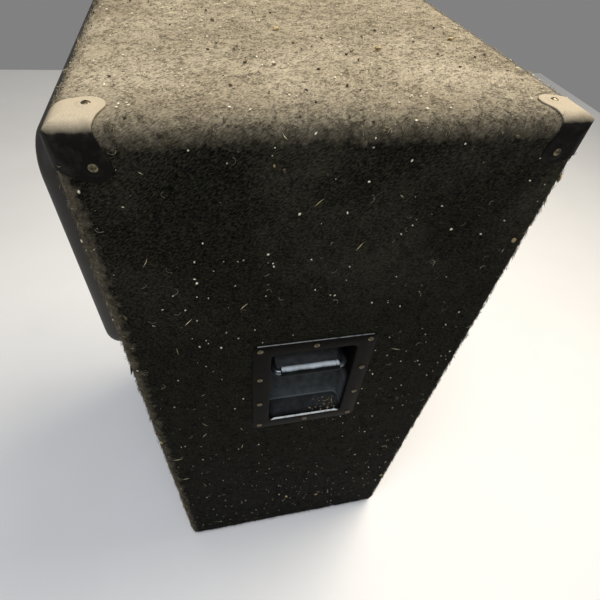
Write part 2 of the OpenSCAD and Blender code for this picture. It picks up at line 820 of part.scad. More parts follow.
// ---- input plate, in the back's local frame ----
jack_xs = [-42, -12];
knob_x = 38;
bush_r = 4.75;
jack_out = 6;            // how far a jack's bush stands out of the recess floor
nut_t = 2.4;
shaft_r = 3;
pot_bush_r = 4.5;
module input_dish() {
    color("#1c1c1c") on_back(input_z) difference() {
        union() {
            linear_extrude(plate_t) rrect(input_w, input_h, 8);
            translate([0, 0, -input_d - plate_t]) linear_extrude(input_d + plate_t)
                square(input_open + 2 * plate_t * [1, 1], center = true);
        }
        translate([0, 0, -input_d]) linear_extrude(input_d + plate_t + over) square(input_open, center = true);
        for (x = jack_xs) translate([x, 0, -input_d - plate_t - over]) cylinder(r = bush_r + fit, h = plate_t + 2 * over);
        translate([knob_x, 0, -input_d - plate_t - over]) cylinder(r = pot_bush_r + fit, h = plate_t + 2 * over);
        for (p = input_points) translate([p.x, p.y, plate_t]) bore(input_screw_l);
    }
}
module input_jacks() {
    body_l = jack_l - jack_out - plate_t + 2;
    color("#202020") on_back(input_z) for (x = jack_xs) translate([x, 0, -input_d]) difference() {
        union() {
            translate([0, 0, -plate_t]) cylinder(r = bush_r, h = plate_t + jack_out);
            translate([-9, -10, -plate_t - body_l]) cube([18, 20, body_l]);
        }
        translate([0, 0, jack_out - jack_l]) cylinder(r = jack_r, h = jack_l + over);
    }
}
module jack_nuts() {
    color("silver") on_back(input_z) for (x = jack_xs) translate([x, 0, -input_d]) difference() {
        cylinder(r = 7.5, h = nut_t, $fn = 6);
        translate([0, 0, -over]) cylinder(r = bush_r + fit, h = nut_t + 2 * over);
    }
}
pot_h = 12;
module level_control() {
    color("#55585a") on_back(input_z) translate([knob_x, 0, -input_d]) difference() {
        union() {
            translate([0, 0, -plate_t - pot_h]) cylinder(r = 12, h = pot_h);
            translate([0, 0, -plate_t]) cylinder(r = pot_bush_r, h = plate_t + 3);
        }
        translate([0, 0, -plate_t - pot_h + 2]) cylinder(r = shaft_r + run_fit, h = pot_h + plate_t + 2);
    }
}
module level_knob() {
    knob_h = 15;
    color("#101010") on_back(input_z) translate([knob_x, 0, -input_d]) {
        translate([0, 0, 3 - plate_t - pot_h]) cylinder(r = shaft_r, h = plate_t + pot_h + 3);
        translate([0, 0, 4]) difference() {
            union() {
                cylinder(r1 = knob_r, r2 = knob_r - 1.5, h = knob_h);
                translate([-0.9, 0, 0]) cube([1.8, knob_r, knob_h]);
            }
            for (i = [1 : 11]) rotate(90 + i * 30) translate([knob_r + 0.6, 0, -over])
                cylinder(r = 1.4, h = knob_h + 2 * over, $fn = 24);
        }
    }
}

// ---- crossover, on the bottom panel ----
board = [200, 110, 2];
board_y = back_in - 40 - board.y / 2;
stand_h = 10;
board_top = in_z0 + stand_h + board.z;
module crossover_board() {
    color("#2f5a35") translate([0, board_y, in_z0]) {
        translate([-board.x / 2, -board.y / 2, stand_h]) cube(board);
        for (x = [-1, 1], y = [-1, 1]) translate([x * (board.x / 2 - 8), y * (board.y / 2 - 8), 0])
            cylinder(r = 4, h = stand_h);
    }
}
module crossover_parts() {
    color("#b5651d") translate([0, board_y, board_top]) {
        for (x = [-62, 0]) translate([x, 18, 0]) ring(8, 24, 0, 20);
        for (i = [0 : 3]) translate([-78 + i * 22, -46, 8]) rotate([-90, 0, 0]) cylinder(r = 8, h = 34);
        for (i = [0 : 2]) translate([28 + i * 18, -44, 0]) cube([10, 60, 10]);
        translate([52, 26, 0]) cube([36, 22, 18]);
    }
}

// ---- wiring: two-core leads, each swept along a few points with its corners cut round ----
lead_r = 3;
lead_sides = 8;
function rounded(p) = concat([p[0]], [for (i = [1 : len(p) - 2]) each
    [p[i] + (p[i - 1] - p[i]) / 4, p[i] + (p[i + 1] - p[i]) / 4]], [p[len(p) - 1]]);
function along(p, i) = let (d = p[min(i + 1, len(p) - 1)] - p[max(i - 1, 0)]) d / norm(d);
module lead(points) {
    p = rounded(rounded(points));
    n = lead_sides;
    aside = [0.43, 0.31, 0.85];      // no lead runs in this direction
    rings = [for (i = [0 : len(p) - 1])
        let (t = along(p, i), u = cross(t, aside) / norm(cross(t, aside)), v = cross(t, u))
        for (k = [0 : n - 1]) p[i] + lead_r * (u * cos(k * 360 / n) + v * sin(k * 360 / n))];
    sides = [for (i = [0 : len(p) - 2], k = [0 : n - 1])
        let (a = i * n + k, b = i * n + (k + 1) % n) each [[a, a + n, b + n], [a, b + n, b]]];
    last = (len(p) - 1) * n;
    polyhedron(rings, concat(sides, [[for (k = [0 : n - 1]) k], [for (k = [n - 1 : -1 : 0]) last + k]]));
}
module wiring() {
    board_pin = board_top + 1;
    jack_y = back_y - input_d - jack_l - 4;
    term_r = (cut_r + base_r) / 2 - 6;
    term_y = baffle_y + woofer_depth * 0.72;
    rise_x = in_x - 60;
    through_x = brace_cut_w / 2 - 30;    // the horn's lead rises through the brace's cut-out
    color("#8c2f2a") {
        lead([[27, jack_y, input_z], [27, jack_y - 30, input_z], [27, jack_y - 30, board_pin + 60],
              [95, board_y - 30, board_pin + 40], [95, board_y - 30, board_pin]]);
        lead([[-95, board_y - 48, board_pin], [-95, board_y - 48, board_pin + 40],
              [-90, term_y + 60, lower_z - term_r - 20], [-term_r * 0.4, term_y + 30, lower_z - term_r]]);
        lead([[95, board_y + 40, board_pin], [95, board_y + 40, board_pin + 50],
              [rise_x, board_y + 40, board_pin + 80], [rise_x, board_y + 40, upper_z - 190],
              [term_r, term_y + 60, upper_z - 150], [term_r * 0.5, term_y + 40, upper_z - term_r]]);
        lead([[-95, board_y + 40, board_pin], [-95, board_y + 40, board_pin + 50],
              [-through_x, board_y - 40, board_pin + 110], [-through_x, board_y - 40, upper_z],
              [-cover_r - 40, throat_y + 60, horn_z - 20], [-cover_r - 4, throat_y + 45, horn_z]]);
    }
}

top_panel();
bottom_panel();
side_panel(-1);  // left_side_panel
side_panel(1);  // right_side_panel
back_panel();
front_baffle();
shelf_brace();
carpet_wrap();
carpet_back();
damping_wadding();
corner_guard(-1, -1);  // corner_front_left
corner_guard(1, -1);  // corner_front_right
corner_guard(-1, 1);  // corner_back_left
corner_guard(1, 1);  // corner_back_right
corner_screws();
rubber_feet();
foot_screws();
handle_dish(-1);  // handle_dish_left
handle_dish(1);  // handle_dish_right
handle_bar(-1);  // handle_bar_left
handle_bar(1);  // handle_bar_right
handle_grip(-1);  // handle_grip_left
handle_grip(1);  // handle_grip_right
handle_screws();
woofer_baskets();
woofer_top_plates();
woofer_magnets();
woofer_pole_plates();
baffle_screws();
voice_coil(upper_z);  // upper_voice_coil
cone(upper_z);  // upper_cone
dust_cap(upper_z);  // upper_dust_cap
surround(upper_z);  // upper_surround
spider(upper_z);  // upper_spider
voice_coil(lower_z);  // lower_voice_coil
cone(lower_z);  // lower_cone
dust_cap(lower_z);  // lower_dust_cap
surround(lower_z);  // lower_surround
spider(lower_z);  // lower_spider
horn_flare();
driver_pole_plate();
driver_magnet();
driver_top_plate();
phase_plug();
diaphragm();
diaphragm_suspension();
driver_cover();
driver_bolts();
port_tubes();
grille();
grille_foam();
panel_screws();
input_dish();
input_jacks();
jack_nuts();
level_control();
level_knob();
crossover_board();
crossover_parts();
wiring();
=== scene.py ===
import json
import math
import random

import bmesh
import bpy
from mathutils import Matrix, Vector, noise
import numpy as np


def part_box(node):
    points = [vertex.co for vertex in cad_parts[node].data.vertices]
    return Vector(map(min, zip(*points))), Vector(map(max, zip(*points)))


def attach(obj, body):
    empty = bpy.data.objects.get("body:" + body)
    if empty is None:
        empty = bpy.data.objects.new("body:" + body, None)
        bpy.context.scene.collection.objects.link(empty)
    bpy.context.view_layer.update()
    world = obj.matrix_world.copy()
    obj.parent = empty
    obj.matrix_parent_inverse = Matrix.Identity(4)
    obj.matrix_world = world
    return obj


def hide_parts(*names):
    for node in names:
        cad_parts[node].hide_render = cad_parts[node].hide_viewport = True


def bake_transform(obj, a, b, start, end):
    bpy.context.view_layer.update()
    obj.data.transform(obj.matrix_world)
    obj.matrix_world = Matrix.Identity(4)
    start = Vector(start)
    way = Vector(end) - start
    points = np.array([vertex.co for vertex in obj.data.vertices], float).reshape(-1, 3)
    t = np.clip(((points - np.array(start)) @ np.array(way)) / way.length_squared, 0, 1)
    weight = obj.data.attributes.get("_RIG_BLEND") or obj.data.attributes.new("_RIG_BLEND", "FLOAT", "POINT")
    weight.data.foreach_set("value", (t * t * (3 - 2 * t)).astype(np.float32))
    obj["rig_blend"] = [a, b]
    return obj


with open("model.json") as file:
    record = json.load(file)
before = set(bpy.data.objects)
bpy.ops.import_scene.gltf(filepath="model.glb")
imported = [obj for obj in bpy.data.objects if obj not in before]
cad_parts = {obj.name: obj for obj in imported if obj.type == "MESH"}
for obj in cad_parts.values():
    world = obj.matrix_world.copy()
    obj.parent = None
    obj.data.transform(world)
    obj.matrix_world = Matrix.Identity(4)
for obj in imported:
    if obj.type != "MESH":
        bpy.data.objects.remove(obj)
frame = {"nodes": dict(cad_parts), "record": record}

random.seed(61)

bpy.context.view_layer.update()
mm = 0.001
nodes = frame["nodes"]

# the cabinet's own places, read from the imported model
wrapLo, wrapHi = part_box("carpet_wrap")
panelLo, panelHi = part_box("front_baffle")
midY = (wrapLo.y + wrapHi.y) / 2
innerX = panelHi.x                 # inner face of a side panel
sides = {"right": 1, "left": -1}


# camera, floor and light
cameraView = {
    "place": (0.645, -0.124, 1.287),
    "yaw": 16.4,          # degrees from looking along -X towards +Y
    "pitch": 47.1,        # degrees below the horizon
    "roll": 6.5,
    "lens": 25.5,
}


def makeCamera():
    yaw, pitch, roll = (math.radians(cameraView[k]) for k in ("yaw", "pitch", "roll"))
    heading = Vector((-math.cos(yaw), math.sin(yaw), 0))
    right = Vector((math.sin(yaw), math.cos(yaw), 0))
    forward = heading * math.cos(pitch) - Vector((0, 0, math.sin(pitch)))
    up = heading * math.sin(pitch) + Vector((0, 0, math.cos(pitch)))
    turned = right * math.cos(roll) + up * math.sin(roll)
    upright = up * math.cos(roll) - right * math.sin(roll)
    data = bpy.data.cameras.new("camera")
    data.lens = cameraView["lens"]
    data.sensor_width = 36
    data.clip_start = 0.02
    camera = bpy.data.objects.new("camera", data)
    camera.matrix_world = Matrix((turned, upright, -forward)).transposed().to_4x4()
    camera.location = cameraView["place"]
    bpy.context.scene.collection.objects.link(camera)
    bpy.context.scene.camera = camera


studio = {
    "floor": 6.0,                     # width of the floor
    "sky": 0.22,                      # strength of the even light
    "lamps": (                        # name, place, size, power, colour
        ("overheadLamp", (-0.4, 1.3, 3.0), 1.5, 78, "#fff4e2"),
        ("frontLamp", (1.6, -2.6, 1.9), 1.6, 8, "#f3f6ff"),
        ("sideLamp", (3.2, 0.9, 2.2), 1.0, 6, "#eef3ff"),
        ("roomLamp", (0.95, -0.4, 3.1), 0.9, 36, "#f2f6ff"),
    ),
}


def linear(hexColour):
    channels = [int(hexColour[i:i + 2], 16) / 255 for i in (1, 3, 5)]
    return tuple(c / 12.92 if c <= 0.04045 else ((c + 0.055) / 1.055) ** 2.4 for c in channels) + (1,)


def setInputs(tree, node, inputs):
    for name, value in inputs.items():
        if isinstance(value, bpy.types.NodeSocket):
            tree.links.new(value, node.inputs[name])
        else:
            node.inputs[name].default_value = value


# adds one shader node with its settings and links, and gives back one of its outputs
def addNode(tree, kind, inputs=None, out=0, **settings):
    made = tree.nodes.new("ShaderNode" + kind)
    for name, value in settings.items():
        setattr(made, name, value)
    setInputs(tree, made, inputs or {})
    return made.outputs[out]


def newMaterial(name):
    material = bpy.data.materials.new(name)
    material.use_nodes = True
    tree = material.node_tree
    shader = next(n for n in tree.nodes if n.type == "BSDF_PRINCIPLED")
    return material, tree, shader, addNode(tree, "TexCoord", out="Object")


def makeStudio():
    material, tree, shader, place = newMaterial("paleStudioFloor")
    mottle = addNode(tree, "TexNoise", {"Vector": place, "Scale": 3.0, "Detail": 4.0})
    tone = addNode(tree, "Mix", {0: mottle, 6: linear("#f0f0ef"), 7: linear("#fafaf9")}, out=2,
                   data_type="RGBA")
    setInputs(tree, shader, {"Base Color": tone, "Roughness": 0.7})
    bm = bmesh.new()
    bmesh.ops.create_grid(bm, x_segments=12, y_segments=12, size=studio["floor"] / 2)
    mesh = bpy.data.meshes.new("floor")
    bm.to_mesh(mesh)
    bm.free()
    mesh.materials.append(material)
    floor = bpy.data.objects.new("floor", mesh)
    bpy.context.scene.collection.objects.link(floor)

    world = bpy.data.worlds.new("studio")
    world.use_nodes = True
    sky = next(n for n in world.node_tree.nodes if n.type == "BACKGROUND")
    sky.inputs["Color"].default_value = linear("#ffffff")
    sky.inputs["Strength"].default_value = studio["sky"]
    bpy.context.scene.world = world
    bpy.context.scene.view_settings.view_transform = "Standard"
    for name, place, size, power, colour in studio["lamps"]:
        data = bpy.data.lights.new(name, "AREA")
        data.size = size
        data.energy = power
        data.color = linear(colour)[:3]
        lamp = bpy.data.objects.new(name, data)
        lamp.location = place
        lamp.rotation_euler = (Vector((0, 0, 0.8)) - Vector(place)).to_track_quat("-Z", "Y").to_euler()
        bpy.context.scene.collection.objects.link(lamp)


makeCamera()
makeStudio()
print("camera, floor and light are up")


# charcoal needle-punched trunk carpet: matt black felt, grey-tan where dust has settled from above
felt = {
    "strand": 1.5 * mm,       # coarser than real fibre, so that it shows
    "clump": 9 * mm,
    "patch": 110 * mm,
    "pit": 17 * mm,           # spacing of small holes in the dust
    "ragged": 26 * mm,        # how far the dust's lower edge wanders
    "black": ("#020202", "#333226"),
    "dust": ("#a09379", "#b5aa94"),
}


def trunkCarpet():
    material, tree, shader, place = newMaterial("needlePunchedCarpet")
    height = addNode(tree, "SeparateXYZ", {0: place}, out="Z")
    depth = addNode(tree, "SeparateXYZ", {0: place}, out="Y")
    across = addNode(tree, "SeparateXYZ", {0: place}, out="X")
    across = addNode(tree, "Math", {0: across}, operation="ABSOLUTE")
    lay = addNode(tree, "Mapping", {"Vector": place, "Rotation": (math.radians(38), 0, math.radians(-42)),
                                    "Scale": (2.4, 2.4, 0.8)}, vector_type="TEXTURE")
    fibre = addNode(tree, "TexNoise",
                    {"Vector": lay, "Scale": 1 / felt["strand"], "Detail": 3.0, "Roughness": 0.65})
    clump = addNode(tree, "TexNoise",
                    {"Vector": place, "Scale": 1 / felt["clump"], "Detail": 3.0, "Roughness": 0.6})
    patch = addNode(tree, "TexNoise",
                    {"Vector": place, "Scale": 1 / felt["patch"], "Detail": 4.0, "Roughness": 0.55})

    # dust settles on the top and fades ragged over the rounded edge,
    # and the pale top goes darker towards the side edges
    ragged = addNode(tree, "Math", {0: clump, 1: felt["ragged"], 2: height}, operation="MULTIPLY_ADD")
    above = addNode(tree, "MapRange",
                    {"Value": ragged, "From Min": wrapHi.z - 11 * mm, "From Max": wrapHi.z + 11 * mm})
    wander = addNode(tree, "Math", {0: patch, 1: 90 * mm, 2: across}, operation="MULTIPLY_ADD")
    sideEdgeFade = addNode(tree, "MapRange",
                     {"Value": wander, "From Min": wrapHi.x + 50 * mm, "From Max": wrapHi.x - 30 * mm,
                                        "To Min": 0.42})
    above = addNode(tree, "Math", {0: above, 1: sideEdgeFade}, operation="MULTIPLY")

    # a faint film on the upper walls, and a line of dust that catches along the front edges
    upper = addNode(tree, "MapRange",
                    {"Value": height, "From Min": wrapHi.z - 300 * mm, "From Max": wrapHi.z - 10 * mm})
    film = addNode(tree, "MapRange", {"Value": patch, "From Min": 0.44, "From Max": 0.7, "To Max": 0.08})
    film = addNode(tree, "Math", {0: film, 1: upper}, operation="MULTIPLY")
    near = addNode(tree, "Math", {0: clump, 1: -34 * mm, 2: depth}, operation="MULTIPLY_ADD")
    along = addNode(tree, "MapRange",
                    {"Value": near, "From Min": wrapLo.y + 2 * mm, "From Max": wrapLo.y - 16 * mm,
                                       "To Max": 0.46})
    dust = addNode(tree, "Math", {0: above, 1: along}, operation="MAXIMUM")
    dust = addNode(tree, "Math", {0: dust, 1: film}, operation="MAXIMUM")
    thin = addNode(tree, "MapRange",
                   {"Value": patch, "From Min": 0.3, "From Max": 0.7, "To Min": 0.72, "To Max": 1.0})
    dust = addNode(tree, "Math", {0: dust, 1: thin}, operation="MULTIPLY")

    # felt below the dust, with painted shade that darkens it towards the floor
    dark, light = felt["black"]
    strand = addNode(tree, "MapRange", {"Value": fibre, "From Min": 0.42, "From Max": 0.66})
    black = addNode(tree, "Mix", {0: strand, 6: linear(dark), 7: linear(light)}, out=2, data_type="RGBA")
    paintedShadeLow = addNode(tree, "MapRange",
                    {"Value": height, "From Min": wrapLo.z, "From Max": wrapHi.z, "To Min": 0.42})
    black = addNode(tree, "Mix", {0: 1.0, 6: black, 7: paintedShadeLow}, out=2, data_type="RGBA", blend_type="MULTIPLY")
    dark, light = felt["dust"]
    tan = addNode(tree, "Mix", {0: patch, 6: linear(dark), 7: linear(light)}, out=2, data_type="RGBA")
    shade = addNode(tree, "MapRange",
                    {"Value": fibre, "From Min": 0.32, "From Max": 0.7, "To Min": 0.54, "To Max": 1.26})
    tan = addNode(tree, "Mix", {0: 1.0, 6: tan, 7: shade}, out=2, data_type="RGBA", blend_type="MULTIPLY")
    tone = addNode(tree, "Mix", {0: dust, 6: black, 7: tan}, out=2, data_type="RGBA")
    pits = addNode(tree, "TexVoronoi", {"Vector": place, "Scale": 1 / felt["pit"], "Randomness": 1.0},
                   out="Distance")
    bare = addNode(tree, "MapRange",
                   {"Value": pits, "From Min": 0.06, "From Max": 0.15, "To Min": 0.75, "To Max": 0.0})
    tone = addNode(tree, "Mix", {0: bare, 6: tone, 7: linear("#2a261e")}, out=2, data_type="RGBA")
    pile = addNode(tree, "Math", {0: clump, 1: 0.6, 2: fibre}, operation="MULTIPLY_ADD")
    normal = addNode(tree, "Bump", {"Height": pile, "Distance": 1.1 * mm, "Strength": 0.9})
    setInputs(tree, shader,
              {"Base Color": tone, "Normal": normal, "Roughness": 0.95, "Specular IOR Level": 0.1})
    return material


# a hard finish in two tones: patches of wear or dust over the base, and a fine grit in the bump
def hardFinish(name, base, worn, patch, grit, dull, gloss, share, depth, metallic):
    material, tree, shader, place = newMaterial(name)
    cloud = addNode(tree, "TexNoise",
                    {"Vector": place, "Scale": 1 / (patch * mm), "Detail": 5.0, "Roughness": 0.6})
    fine = addNode(tree, "TexNoise", {"Vector": place, "Scale": 1 / (grit * mm), "Detail": 2.0})
    wear = addNode(tree, "MapRange",
                   {"Value": cloud, "From Min": 0.62 - share, "From Max": 0.8 - share * 0.4})
    wear = addNode(tree, "Math", {0: wear, 1: fine, 2: 0.0}, operation="MULTIPLY_ADD")
    tone = addNode(tree, "Mix", {0: wear, 6: linear(base), 7: linear(worn)}, out=2, data_type="RGBA")
    rough = addNode(tree, "MapRange", {"Value": wear, "To Min": gloss, "To Max": dull})
    normal = addNode(tree, "Bump", {"Height": fine, "Distance": depth * mm, "Strength": 0.7})
    setInputs(tree, shader, {"Base Color": tone, "Roughness": rough, "Normal": normal, "Metallic": metallic})
    return material


# each row: name, base colour, worn colour, patch mm, grit mm, dull and glossy roughness, share worn
# bare or plated metal, dulled by handling
metals = {
    # zinc gone brassy grey, catching small highlights
    "screw_steel": ("zincPlatedPanHead", "#565040", "#8d8266", 6, 0.6, 0.5, 0.26, 0.5),
    # cool bright rod with duller handled parts
    "bar_steel": ("chromedHandleRod", "#5b6266", "#7e8588", 20, 0.9, 0.5, 0.22, 0.35),
    # silvery grey with yellowish patches
    "plate_steel": ("zincPassivatedPlate", "#8f9296", "#a9a48f", 24, 0.7, 0.5, 0.3, 0.4),
    # pale satin metal
    "dome_metal": ("spunAluminiumDome", "#c9cbcd", "#b2b4b6", 10, 0.5, 0.4, 0.25, 0.3),
    # bright, faintly warm
    "nut_chrome": ("nickelPlatedNut", "#c3c2bd", "#9c988c", 5, 0.5, 0.4, 0.16, 0.3),
    # flat mid grey
    "pot_metal": ("stampedAluminiumCase", "#a4a7a9", "#8c8f90", 8, 0.5, 0.5, 0.3, 0.35),
    # glossy red-brown wire
    "coil_copper": ("enamelledCopperWinding", "#b06a36", "#8a4c22", 12, 0.35, 0.4, 0.22, 0.4),
}
# paints, plastics, pulp and cloth, none of them metal to the eye
solids = {
    # black with a fine orange peel
    "black_paint": ("blackPowderCoat", "#141414", "#242320", 30, 0.8, 0.6, 0.42, 0.35),
    # dull black, browner where driven
    "black_screw": ("blackOxideScrew", "#131312", "#2b2822", 6, 0.5, 0.6, 0.38, 0.4),
    # matt grey stone
    "ferrite": ("sinteredFerrite", "#2a2b2c", "#3a3b3b", 18, 0.9, 0.75, 0.6, 0.4),
    # dull black, scuffed grey-brown
    "rubber": ("mouldedRubberFoot", "#161616", "#34312b", 12, 1.0, 0.9, 0.75, 0.4),
    # mottled dark brown with a soft sheen
    "horn_plastic": ("mouldedStructuralFoam", "#15130f", "#2a251b", 34, 1.5, 0.7, 0.45, 0.4),
    # tan resin
    "plug_plastic": ("mouldedPhenolicPlug", "#8a7a4a", "#6e603a", 8, 0.6, 0.6, 0.45, 0.4),
    # shiny amber film
    "phenolic": ("goldPolyimideFilm", "#a8792c", "#8d6322", 6, 0.4, 0.35, 0.2, 0.3),
    # plain black, half gloss
    "jack_plastic": ("mouldedBlackNylon", "#171717", "#272624", 9, 0.6, 0.6, 0.4, 0.35),
    "knob_plastic": ("mouldedKnobPlastic", "#121212", "#232220", 7, 0.5, 0.55, 0.35, 0.35),
    # green board under clear resist
    "board_laminate": ("glassLaminateBoard", "#2c5a35", "#3a6a3f", 16, 0.8, 0.4, 0.25, 0.3),
    # shiny orange-brown shrink sleeve
    "component_case": ("filmCapacitorSleeve", "#8c4a1c", "#a8632c", 14, 0.6, 0.4, 0.25, 0.35),
    # soft dark red insulation
    "wire_jacket": ("softVinylLead", "#7a2a24", "#5f1f1b", 12, 0.5, 0.5, 0.35, 0.35),
    # felted black pulp
    "paper_cone": ("dopedPaperPulp", "#191918", "#2a2a27", 20, 0.7, 0.85, 0.6, 0.45),
    # woven cloth stiffened with black dope
    "surround_cloth": ("dopedClothRoll", "#161616", "#222220", 16, 0.9, 0.7, 0.45, 0.35),
    # honey-coloured stiff cotton
    "spider_cloth": ("resinedCotton", "#a37f3a", "#8a692c", 10, 0.8, 0.9, 0.75, 0.35),
}
finishes = {}


# satin black enamel on pressed steel: dust(tree, place, cloud) says where its pale tone goes, from 0 to 1,
# which is dust on the corners, dust with painted light in the handle's dish and a painted highlight on the
# sleeve, and bare(tree, place, cloud) where painted highlights sit on edges, drawn as bright steel with the
# enamel worn off
def dustAndLightEnamel(name, base, worn, dustAndLightTone, dust, gloss, bare=None):
    material, tree, shader, place = newMaterial(name)
    cloud = addNode(tree, "TexNoise",
                    {"Vector": place, "Scale": 1 / (16 * mm), "Detail": 5.0, "Roughness": 0.65})
    fine = addNode(tree, "TexNoise", {"Vector": place, "Scale": 1 / (0.9 * mm), "Detail": 2.0})
    wear = addNode(tree, "MapRange", {"Value": cloud, "From Min": 0.48, "From Max": 0.72})
    tone = addNode(tree, "Mix", {0: wear, 6: linear(base), 7: linear(worn)}, out=2, data_type="RGBA")
    # share of the pale tone that the given function places: dust, painted light or a painted highlight
    dustAndLightShare = addNode(tree, "Math", {0: dust(tree, place, cloud), 1: 1.0}, operation="MULTIPLY", use_clamp=True)
    speck = addNode(tree, "MapRange",
                    {"Value": fine, "From Min": 0.3, "From Max": 0.7, "To Min": 0.82, "To Max": 1.1})
    pale = addNode(tree, "Mix", {0: 1.0, 6: linear(dustAndLightTone), 7: speck}, out=2, data_type="RGBA",
                   blend_type="MULTIPLY")
    tone = addNode(tree, "Mix", {0: dustAndLightShare, 6: tone, 7: pale}, out=2, data_type="RGBA")
    # painted highlights on worn edges, in a bright steel tone
    if bare:
        highlightAndWear = bare(tree, place, cloud)
        tone = addNode(tree, "Mix", {0: highlightAndWear, 6: tone, 7: linear("#d6dad8")}, out=2, data_type="RGBA")
    rough = addNode(tree, "MapRange", {"Value": dustAndLightShare, "To Min": gloss, "To Max": 0.9})
    normal = addNode(tree, "Bump", {"Height": fine, "Distance": 0.08 * mm, "Strength": 0.6})
    setInputs(tree, shader,
              {"Base Color": tone, "Roughness": rough, "Normal": normal, "Specular IOR Level": 0.04})
    return material


dishLo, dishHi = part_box("handle_dish_right")
dishZ = (dishLo.z + dishHi.z) / 2
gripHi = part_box("handle_grip_right")[1]
dishLightLines = {                      # heights are from the middle of a handle's dish
    "start": 12 * mm,             # dust and painted light start here and are full at the next
    "full": -16 * mm,
    "fold": -85 * mm,             # crease between the dish's back and its ledge
    "foldWide": 1.3 * mm,
    "rim": -95.8 * mm,            # the opening's lower rim
}
rimHighlightLines = {                      # half width, reach either way and strength of a painted highlight line, drawn as worn steel
    "rim": (0.8 * mm, 60 * mm, 0.9),
    "flange": (0.5 * mm, 100 * mm, 0.3),
}


# cream dust on whatever faces up at the cabinet's top, and black enamel below it
def dustOnTop(tree, place, cloud):
    height = addNode(tree, "SeparateXYZ", {0: place}, out="Z")
    ragged = addNode(tree, "Math", {0: cloud, 1: 5 * mm, 2: height}, operation="MULTIPLY_ADD")
    return addNode(tree, "MapRange",
                   {"Value": ragged, "From Min": wrapHi.z - 5 * mm, "From Max": wrapHi.z + 2.5 * mm})


# grey dust and painted light on the lower back of a handle's dish, stopping below the bar so that the part
# above stays dark as painted shadow; a painted highlight line along the fold, and little on the ledge as painted
# shade
def dustAndLightInDish(tree, place, cloud):
    height = addNode(tree, "SeparateXYZ", {0: place}, out="Z")
    across = addNode(tree, "SeparateXYZ", {0: place}, out="X")
    across = addNode(tree, "Math", {0: across}, operation="ABSOLUTE")
    deep = addNode(tree, "MapRange",
                   {"Value": across, "From Min": wrapHi.x - 3 * mm, "From Max": wrapHi.x - 14 * mm})
    foldZ = dishZ + dishLightLines["fold"]
    dustAndLightShare = addNode(tree, "MapRange", {"Value": height, "From Min": dishZ + dishLightLines["start"],
                                      "From Max": dishZ + dishLightLines["full"]})
    # painted shade: less of the pale tone on the ledge
    ledge = addNode(tree, "MapRange", {"Value": height, "From Min": foldZ - 3 * mm, "From Max": foldZ + mm,
                                       "To Min": 0.35})
    # painted highlight: a bright line along the fold
    fold = addNode(tree, "Math", {0: height, 1: foldZ, 2: dishLightLines["foldWide"]}, operation="COMPARE")
    ledge = addNode(tree, "Math", {0: fold, 1: 1.2, 2: ledge}, operation="MULTIPLY_ADD")
    for share in (ledge, deep, cloud):
        dustAndLightShare = addNode(tree, "Math", {0: dustAndLightShare, 1: share}, operation="MULTIPLY")
    return dustAndLightShare


# painted highlight: a pale band along the top of a handle's sleeve
def highlightOnSleeve(tree, place, cloud):
    height = addNode(tree, "SeparateXYZ", {0: place}, out="Z")
    ragged = addNode(tree, "Math", {0: cloud, 1: 2 * mm, 2: height}, operation="MULTIPLY_ADD")
    return addNode(tree, "MapRange", {"Value": ragged, "From Min": gripHi.z - 1.2 * mm,
                                      "From Max": gripHi.z + 0.9 * mm})


# painted highlights: thin bright lines where the flange's upper edge and the opening's lower rim catch the
# light, drawn as steel where the enamel has worn off
def rimHighlightsAndWear(tree, place, cloud):
    height = addNode(tree, "SeparateXYZ", {0: place}, out="Z")
    across = addNode(tree, "SeparateXYZ", {0: place}, out="X")
    across = addNode(tree, "Math", {0: across}, operation="ABSOLUTE")
    along = addNode(tree, "SeparateXYZ", {0: place}, out="Y")
    along = addNode(tree, "Math", {0: along, 1: midY}, operation="SUBTRACT")
    along = addNode(tree, "Math", {0: along}, operation="ABSOLUTE")
    outside = addNode(tree, "Math", {0: across, 1: wrapHi.x - 4 * mm}, operation="GREATER_THAN")
    # breaks the painted highlight lines into patches
    worn = addNode(tree, "MapRange", {"Value": cloud, "From Min": 0.3, "From Max": 0.5, "To Min": 0.15})
    bands = []
    for edgeZ, edge in ((dishZ + dishLightLines["rim"], "rim"), (dishHi.z, "flange")):
        wide, reach, strength = rimHighlightLines[edge]
        band = addNode(tree, "Math", {0: height, 1: edgeZ, 2: wide}, operation="COMPARE")
        inside = addNode(tree, "Math", {0: along, 1: reach}, operation="LESS_THAN")
        band = addNode(tree, "Math", {0: band, 1: inside}, operation="MULTIPLY")
        bands.append(addNode(tree, "Math", {0: band, 1: strength}, operation="MULTIPLY"))
    total = addNode(tree, "Math", {0: bands[0], 1: bands[1]}, operation="MAXIMUM")
    total = addNode(tree, "Math", {0: total, 1: outside}, operation="MULTIPLY")
    return addNode(tree, "Math", {0: total, 1: worn}, operation="MULTIPLY")


for slot, row in metals.items():
    finishes[slot] = hardFinish(*row, depth=0.05, metallic=0.85)
for slot, row in solids.items():
    finishes[slot] = hardFinish(*row, depth=0.12, metallic=0.0)
enamels = {      # name, base, worn, tone of dust and painted light, where it goes, roughness, where painted highlights show as worn steel
    # black sleeve with a pale painted highlight along its top
    "grip_plastic": ("sleevePlasticPaintedHighlight", "#101314", "#1d2122", "#d3dcdf", highlightOnSleeve, 0.4),
    # black below and cream above, where dust has settled
    "plated_steel": ("dustyEnamelledCorner", "#141311", "#2c2924", "#aea28b", dustOnTop, 0.4),
    # near black, with grey dust and painted light low in the dish and two painted highlight lines drawn as worn
    # steel
    "handle_paint": ("satinBlackEnamelPressing", "#070605", "#12100c", "#666c6f", dustAndLightInDish, 0.5, rimHighlightsAndWear),
}
for slot, row in enamels.items():
    finishes[slot] = dustAndLightEnamel(*row)


